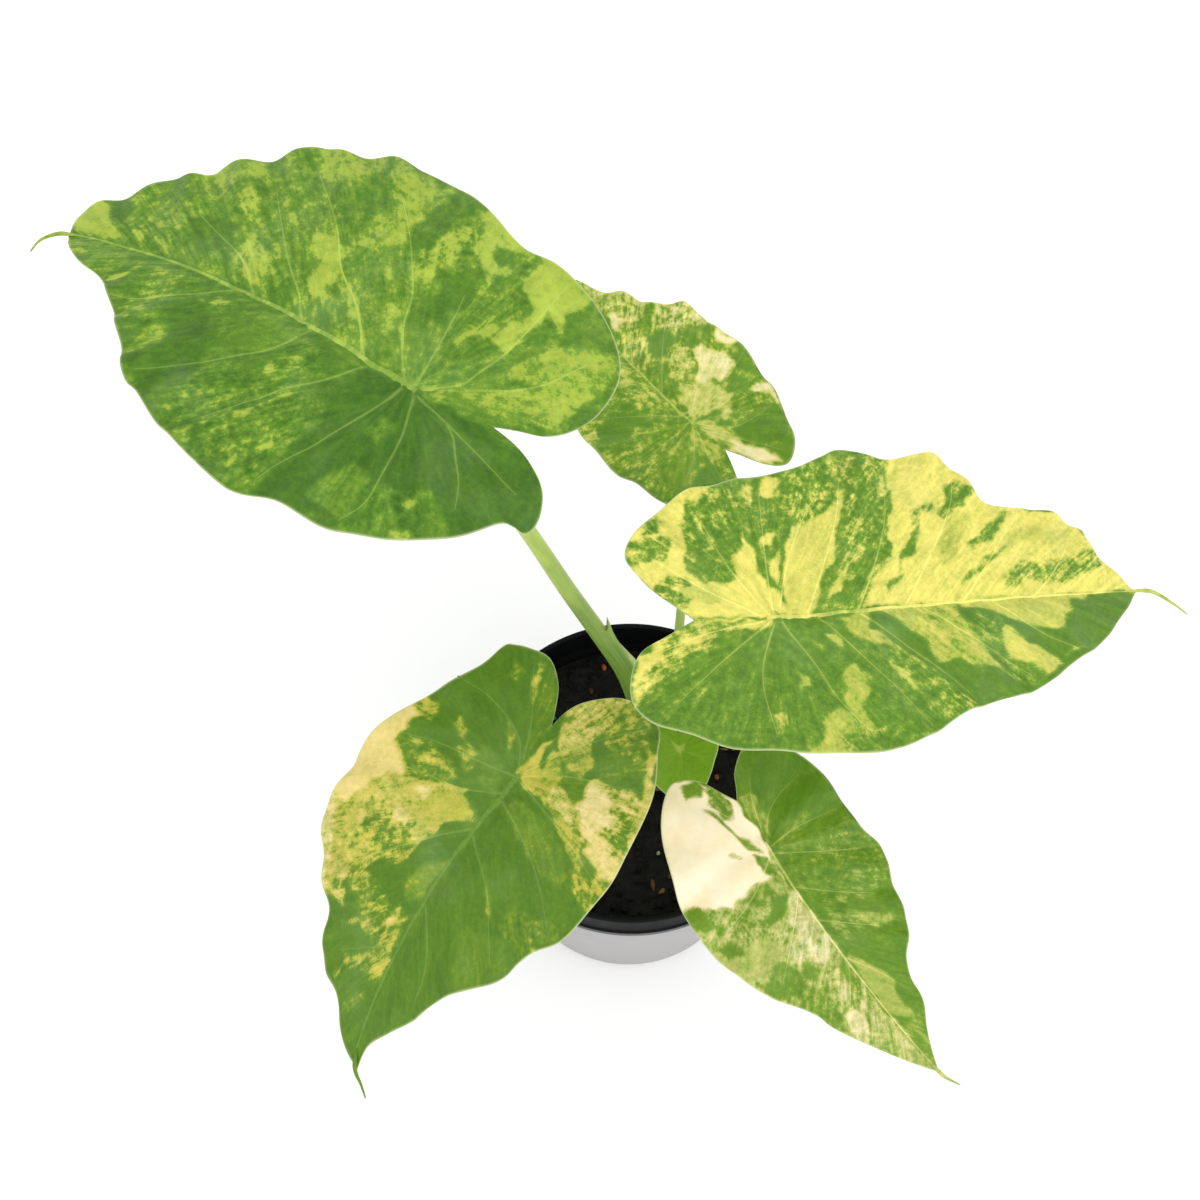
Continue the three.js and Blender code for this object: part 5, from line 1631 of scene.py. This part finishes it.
def make_crumbs(settings, material):
    """Loose crumbs and chips of the mix, lying on its top."""
    random = np.random.default_rng(CRUMB_SEED)
    ball, ball_faces = lump(2)
    points, faces, shades = [], [], []
    edge = soil_edge_radius(SOIL_TOP) - 3

    def add(x, y, sizes, shade, lift=0.3):
        turn = np.linalg.qr(random.normal(size=(3, 3)))[0]
        dents = 1 + 0.25 * value_noise(ball[:, 0] * 1.7 + x, ball[:, 1] * 1.7 + y, 4)
        dents += 0.15 * value_noise(ball[:, 2] * 2.3 + x, ball[:, 0] * 2.3 - y, 6)
        shape = (ball * dents[:, None] * sizes) @ turn
        height = soil_height(x, y) + crumb_height(x, y)
        start = len(points) * len(ball)
        points.append(shape + [x, y, height + lift * min(sizes)])
        faces.extend([[i + start for i in face] for face in ball_faces])
        shades.append(np.tile(shade, (len(ball), 1)))

    for _ in range(settings.crumbs):
        reach = edge * math.sqrt(random.random())
        turn = random.random() * 2 * math.pi
        x, y = reach * math.cos(turn), reach * math.sin(turn)
        if math.hypot(x - TRUNK_X, y - TRUNK_Y) < TRUNK_RADIUS + 2:
            continue
        size = random.uniform(*CRUMB_SIZES)
        level = random.choice(CRUMB_SHADES)
        shade = np.array(settings.soil_colour) * level
        add(x, y, size * random.uniform(0.6, 1.3, 3), shade)
    for x, y, sizes, shade in SOIL_BITS:
        add(x, y, np.array(sizes), np.array(shade), 0.8)
    return new_piece(
        "soil_crumbs", np.vstack(points), faces, [material], [],
        {"shade": np.vstack(shades)},
    )


def soil_material(settings):
    """Damp dark mix with browner grains."""
    s = Shader("soil_surface")
    place = s.place()
    grains = s.noise(place, 420, 5.0, 0.65)
    clumps = s.noise(place, 90, 3.0)
    browner = s.spread(grains, 0.42, 0.7, 0, 0.8)
    colour = s.mix(browner, settings.soil_colour, tint(31, 27, 24))
    colour = s.mix(s.spread(clumps, 0.5, 0.75, 0, 0.6), colour, tint(9, 8, 8))
    rough = s.spread(clumps, 0.3, 0.7, 0.75, 0.95)
    return s.finish(colour, rough, (grains, 0.0008, 0.8), Specular_IOR_Level=0.25)


def crumb_material():
    """Crumbs and chips, each in its own shade with darker grain."""
    s = Shader("crumb_surface")
    place = s.place()
    grains = s.noise(place, 800, 4.0, 0.6)
    own = s.mark("shade", "Vector")
    dark = s.mix(s.spread(grains, 0.35, 0.7, 0.6, 0), own, tint(12, 10, 9))
    return s.finish(dark, s.spread(grains, 0.3, 0.7, 0.7, 0.95), (grains, 0.0005, 0.7),
                    Specular_IOR_Level=0.25)


# Pot

# Places of the pot's three looks in its list of materials
WALL_LOOK = 0
BAND_LOOK = 1
LIP_LOOK = 2

# Edges of the pot that turn by more than this stay sharp, and the sides of a drain hole
SHARP_ANGLE = 35
HOLE_SIDES = 28


def bore_drain_holes(piece):
    """Cuts a ring of round holes through the pot's floor."""
    holes = bmesh.new()
    for i in range(DRAIN_HOLES):
        turn = (i + 0.5) / DRAIN_HOLES * 2 * math.pi
        made = bmesh.ops.create_cone(
            holes, cap_ends=True, segments=HOLE_SIDES, radius1=DRAIN_HOLE_RADIUS * MM,
            radius2=DRAIN_HOLE_RADIUS * MM, depth=4 * POT_FLOOR * MM,
        )
        place = Vector((math.cos(turn), math.sin(turn), 0)) * DRAIN_HOLE_CIRCLE * MM
        bmesh.ops.translate(holes, verts=made["verts"], vec=place)
    cutter_mesh = bpy.data.meshes.new("drain_holes")
    holes.to_mesh(cutter_mesh)
    holes.free()
    cutter = add_object("drain_holes", cutter_mesh)
    cut = piece.modifiers.new("drain holes", "BOOLEAN")
    cut.operation = "DIFFERENCE"
    cut.solver = "EXACT"
    cut.object = cutter
    depsgraph = bpy.context.evaluated_depsgraph_get()
    piece.data = bpy.data.meshes.new_from_object(piece.evaluated_get(depsgraph))
    piece.modifiers.clear()
    bpy.data.objects.remove(cutter)
    bpy.data.meshes.remove(cutter_mesh)


def make_pot(settings, materials):
    """Round tapered pot: thin wall, a deeper band round the top with a lip under it, and
    drain holes in the floor."""
    outside = [
        (0.01, 0), (BASE_RADIUS - 1.5, 0), (BASE_RADIUS, 1.5), (WALL_TOP_RADIUS, BAND_BOTTOM),
    ]
    inside = [
        (RIM_RADIUS + 1.2, BAND_BOTTOM), (RIM_RADIUS + 1.2, BAND_BOTTOM + 2),
        (RIM_RADIUS - 0.4, BAND_BOTTOM + 2.6), (RIM_RADIUS, POT_HEIGHT - 1),
        (RIM_RADIUS - 0.8, POT_HEIGHT), (RIM_RADIUS - 2.4, POT_HEIGHT),
        (RIM_RADIUS - 3, POT_HEIGHT - 1), (RIM_RADIUS - 2.8, BAND_BOTTOM + 1),
        (INNER_TOP_RADIUS, BAND_BOTTOM - 2), (INNER_BASE_RADIUS, POT_FLOOR),
        (0.01, POT_FLOOR),
    ]
    profile = rounded(outside + inside, 0.7)
    around = settings.pot_sides
    points = turned_points(profile, around)
    faces = ring_faces(len(profile), around)
    radii = np.array([p[0] for p in profile])
    first_band_ring = int(np.argmax(radii > WALL_TOP_RADIUS + 0.5)) - 1
    ring_looks = []
    for ring, radius in enumerate(np.minimum(radii[:-1], radii[1:])):
        if radius > RIM_RADIUS + 0.4:
            ring_looks.append(LIP_LOOK)
        else:
            ring_looks.append(WALL_LOOK if ring < first_band_ring else BAND_LOOK)
    looks = np.repeat(ring_looks, around).tolist() + [WALL_LOOK, BAND_LOOK]
    piece = new_piece("pot_shell", points, faces, materials, ["pot"],
                      face_looks=looks)
    bore_drain_holes(piece)
    piece.data.set_sharp_from_angle(angle=math.radians(SHARP_ANGLE))
    return piece


def plastic_material(name, colour, worn, low_rough, high_rough, gloss):
    """Moulded plastic with a fine matte grain, faint smears and dust."""
    s = Shader(name)
    place = s.place()
    grain = s.noise(place, 1500, 2.0)
    smears = s.noise(s.stretched(place, (1, 1, 0.35)), 28, 5.0, 0.6)
    dust = s.noise(place, 260, 4.0)
    shade = s.mix(s.spread(smears, 0.45, 0.75, 0, 0.5), colour, worn)
    shade = s.mix(s.spread(dust, 0.62, 0.8, 0, 0.3), shade, worn)
    rough = s.spread(smears, 0.3, 0.7, low_rough, high_rough)
    return s.finish(shade, rough, (grain, 0.00005, 0.4), Specular_IOR_Level=gloss)


# Stage, in metres and degrees

FLOOR_HALF = 6
FLOOR_DROP = 0.0003
LAMP_PLACE = (0.9, -1.5, 2.2)
LAMP_AIM = (0, 0, 0.2)
LAMP_SPREAD = 70
CAMERA_PLACE = (-0.0156, -0.3862, 1.1783)
CAMERA_TILT = 24.77
CAMERA_LENS = 66
CAMERA_SENSOR = 36


def make_floor(settings):
    """A pale floor just under the pot."""
    corners = [(-1, -1), (1, -1), (1, 1), (-1, 1)]
    mesh = bpy.data.meshes.new("floor")
    mesh.from_pydata([(x * FLOOR_HALF, y * FLOOR_HALF, 0) for x, y in corners], [],
                     [[0, 1, 2, 3]])
    shader = Shader("floor_surface")
    speckles = shader.noise(shader.place(), 60, 2.0)
    darker = [0.98 * level for level in settings.floor_colour]
    colour = shader.mix(shader.spread(speckles, 0.3, 0.7, 0, 0.2), settings.floor_colour,
                        darker)
    mesh.materials.append(shader.finish(colour, 0.9, Specular_IOR_Level=0.1))
    floor = add_object("floor", mesh)
    floor.location = (0, 0, -FLOOR_DROP)


def make_light(settings):
    """Even light from all round, and a broad soft lamp from the front right."""
    world = bpy.data.worlds.new("daylight")
    world.use_nodes = True
    background = world.node_tree.nodes["Background"]
    background.inputs["Color"].default_value = (1, 1, 1, 1)
    background.inputs["Strength"].default_value = settings.daylight
    bpy.context.scene.world = world
    light = bpy.data.lights.new("soft_lamp", "SUN")
    light.angle = math.radians(LAMP_SPREAD)
    light.energy = settings.lamp_strength
    lamp = add_object("soft_lamp", light)
    lamp.location = LAMP_PLACE
    aim = Vector(LAMP_AIM) - lamp.location
    lamp.rotation_euler = aim.to_track_quat("-Z", "Y").to_euler()


def make_camera():
    """A camera over the front of the pot, looking down."""
    lens = bpy.data.cameras.new("camera")
    lens.lens = CAMERA_LENS
    lens.sensor_width = CAMERA_SENSOR
    camera = add_object("camera", lens)
    camera.location = CAMERA_PLACE
    camera.rotation_euler = (math.radians(CAMERA_TILT), 0, 0)
    bpy.context.scene.camera = camera


# Settings

def colour_property(name, description, default):
    """A setting that is a colour."""
    return FloatVectorProperty(
        name=name, description=description, default=default, subtype="COLOR", size=3, min=0,
        max=1,
    )


class BladeSettings(bpy.types.PropertyGroup):
    thickness: FloatProperty(
        name="Thickness", description="Thickness of a leaf blade", default=0.0008,
        min=0.0004, max=0.002, unit="LENGTH", precision=4,
    )
    vein_depth: FloatProperty(
        name="Vein depth", description="How far the blade sinks along its side veins",
        default=0.0013, min=0, max=0.003, unit="LENGTH", precision=4,
    )
    vein_width: FloatProperty(
        name="Vein width", description="Width of a side vein where it leaves the midrib",
        default=0.0016, min=0.0003, max=0.004, unit="LENGTH", precision=4,
    )
    spokes: IntProperty(
        name="Spokes", description="Points round the edge of the largest blade",
        default=400, min=60, max=480,
    )
    rings: IntProperty(
        name="Rings", description="Rings from hub to edge of the largest blade",
        default=95, min=12, max=120,
    )
    cream: colour_property(
        "Cream", "Palest, creamiest tone of the mottling", tint(254, 239, 210),
    )
    rim_colour: colour_property(
        "Margin", "The thin clear line round a blade", tint(205, 212, 158),
    )
    underside_colour: colour_property(
        "Underside", "Bloom on the underside of a blade", tint(150, 176, 120),
    )


class StalkSettings(bpy.types.PropertyGroup):
    stalk_base: colour_property(
        "Foot", "Colour of a stalk near the trunk", tint(98, 134, 38),
    )
    stalk_top: colour_property(
        "Top", "Colour of a stalk near its blade", tint(178, 200, 90),
    )


class PotSettings(bpy.types.PropertyGroup):
    pot_sides: IntProperty(
        name="Steps round", description="Faces round the pot", default=180, min=32, max=360,
    )
    crumbs: IntProperty(
        name="Crumbs", description="Loose crumbs on the potting mix", default=420, min=0,
        max=900,
    )
    wall_colour: colour_property(
        "Outside", "Colour of the pot's outer wall", tint(160, 158, 159),
    )
    band_colour: colour_property(
        "Inside and rim", "Colour of the pot's inside and rim band", tint(13, 14, 16),
    )
    soil_colour: colour_property(
        "Potting mix", "Colour of the damp mix", tint(15, 14, 13),
    )


class StageSettings(bpy.types.PropertyGroup):
    floor_colour: colour_property("Floor", "Colour of the floor", (0.97, 0.97, 0.97))
    daylight: FloatProperty(
        name="Daylight", description="Strength of the light from all round", default=1.1,
        min=0, max=3,
    )
    lamp_strength: FloatProperty(
        name="Soft lamp", description="Strength of the broad soft lamp", default=0.9, min=0,
        max=20,
    )


# Operators

class PLANT_OT_make_stage(bpy.types.Operator):
    """Floor, soft light and camera"""

    bl_idname = "plant.make_stage"
    bl_label = "Make stage"

    def execute(self, context):
        settings = context.scene.plant_stage
        make_floor(settings)
        make_light(settings)
        make_camera()
        context.scene.view_settings.view_transform = "Standard"
        return {"FINISHED"}


class PLANT_OT_make_pot(bpy.types.Operator):
    """Two-tone plastic pot with drain holes"""

    bl_idname = "plant.make_pot"
    bl_label = "Make pot"

    def execute(self, context):
        settings = context.scene.plant_pot
        wall = plastic_material("pot_wall_surface", settings.wall_colour,
                                tint(172, 168, 168), 0.42, 0.6, 0.4)
        band = plastic_material("pot_band_surface", settings.band_colour,
                                tint(18, 18, 20), 0.45, 0.65, 0.08)
        lip = plastic_material("pot_lip_surface", tint(96, 96, 98), tint(112, 112, 114),
                               0.45, 0.6, 0.3)
        make_pot(settings, [wall, band, lip])
        return {"FINISHED"}


class PLANT_OT_make_soil(bpy.types.Operator):
    """Potting mix with its crumbs and chips"""

    bl_idname = "plant.make_soil"
    bl_label = "Make potting mix"

    def execute(self, context):
        settings = context.scene.plant_pot
        make_soil(soil_material(settings))
        make_crumbs(settings, crumb_material())
        return {"FINISHED"}


class PLANT_OT_make_stalks(bpy.types.Operator):
    """Trunk and the six stalks"""

    bl_idname = "plant.make_stalks"
    bl_label = "Make trunk and stalks"

    def execute(self, context):
        settings = context.scene.plant_stalks
        make_trunk(trunk_material(settings))
        material = stalk_material(settings)
        for leaf in LEAVES:
            make_stalk(leaf, material)
        return {"FINISHED"}


class PLANT_OT_make_leaves(bpy.types.Operator):
    """The six leaf blades with their veins and tails"""

    bl_idname = "plant.make_leaves"
    bl_label = "Make leaves"

    def execute(self, context):
        for leaf in LEAVES:
            make_blade(leaf, context.scene.plant_blades)
        return {"FINISHED"}


class PLANT_PT_panel(bpy.types.Panel):
    """Steps and settings of the plant"""

    bl_label = "Potted plant"
    bl_idname = "PLANT_PT_panel"
    bl_space_type = "VIEW_3D"
    bl_region_type = "UI"
    bl_category = "Plant"

    def draw(self, context):
        for kind in OPERATORS:
            self.layout.operator(kind.bl_idname)
        for owner, kind in SETTINGS.items():
            box = self.layout.box()
            for name in kind.__annotations__:
                box.prop(getattr(context.scene, owner), name)


SETTINGS = {
    "plant_stage": StageSettings,
    "plant_pot": PotSettings,
    "plant_stalks": StalkSettings,
    "plant_blades": BladeSettings,
}
OPERATORS = [
    PLANT_OT_make_stage,
    PLANT_OT_make_pot,
    PLANT_OT_make_soil,
    PLANT_OT_make_stalks,
    PLANT_OT_make_leaves,
]


def register():
    for kind in [*SETTINGS.values(), *OPERATORS, PLANT_PT_panel]:
        bpy.utils.register_class(kind)
    for owner, kind in SETTINGS.items():
        setattr(bpy.types.Scene, owner, PointerProperty(type=kind))


def unregister():
    for owner in SETTINGS:
        delattr(bpy.types.Scene, owner)
    for kind in [PLANT_PT_panel, *OPERATORS, *SETTINGS.values()]:
        bpy.utils.unregister_class(kind)


def main():
    """Makes every piece and the stage."""
    register()
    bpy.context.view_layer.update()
    bpy.ops.plant.make_stage()
    bpy.ops.plant.make_pot()
    bpy.ops.plant.make_soil()
    bpy.ops.plant.make_stalks()
    bpy.ops.plant.make_leaves()


if __name__ == "__main__":
    main()
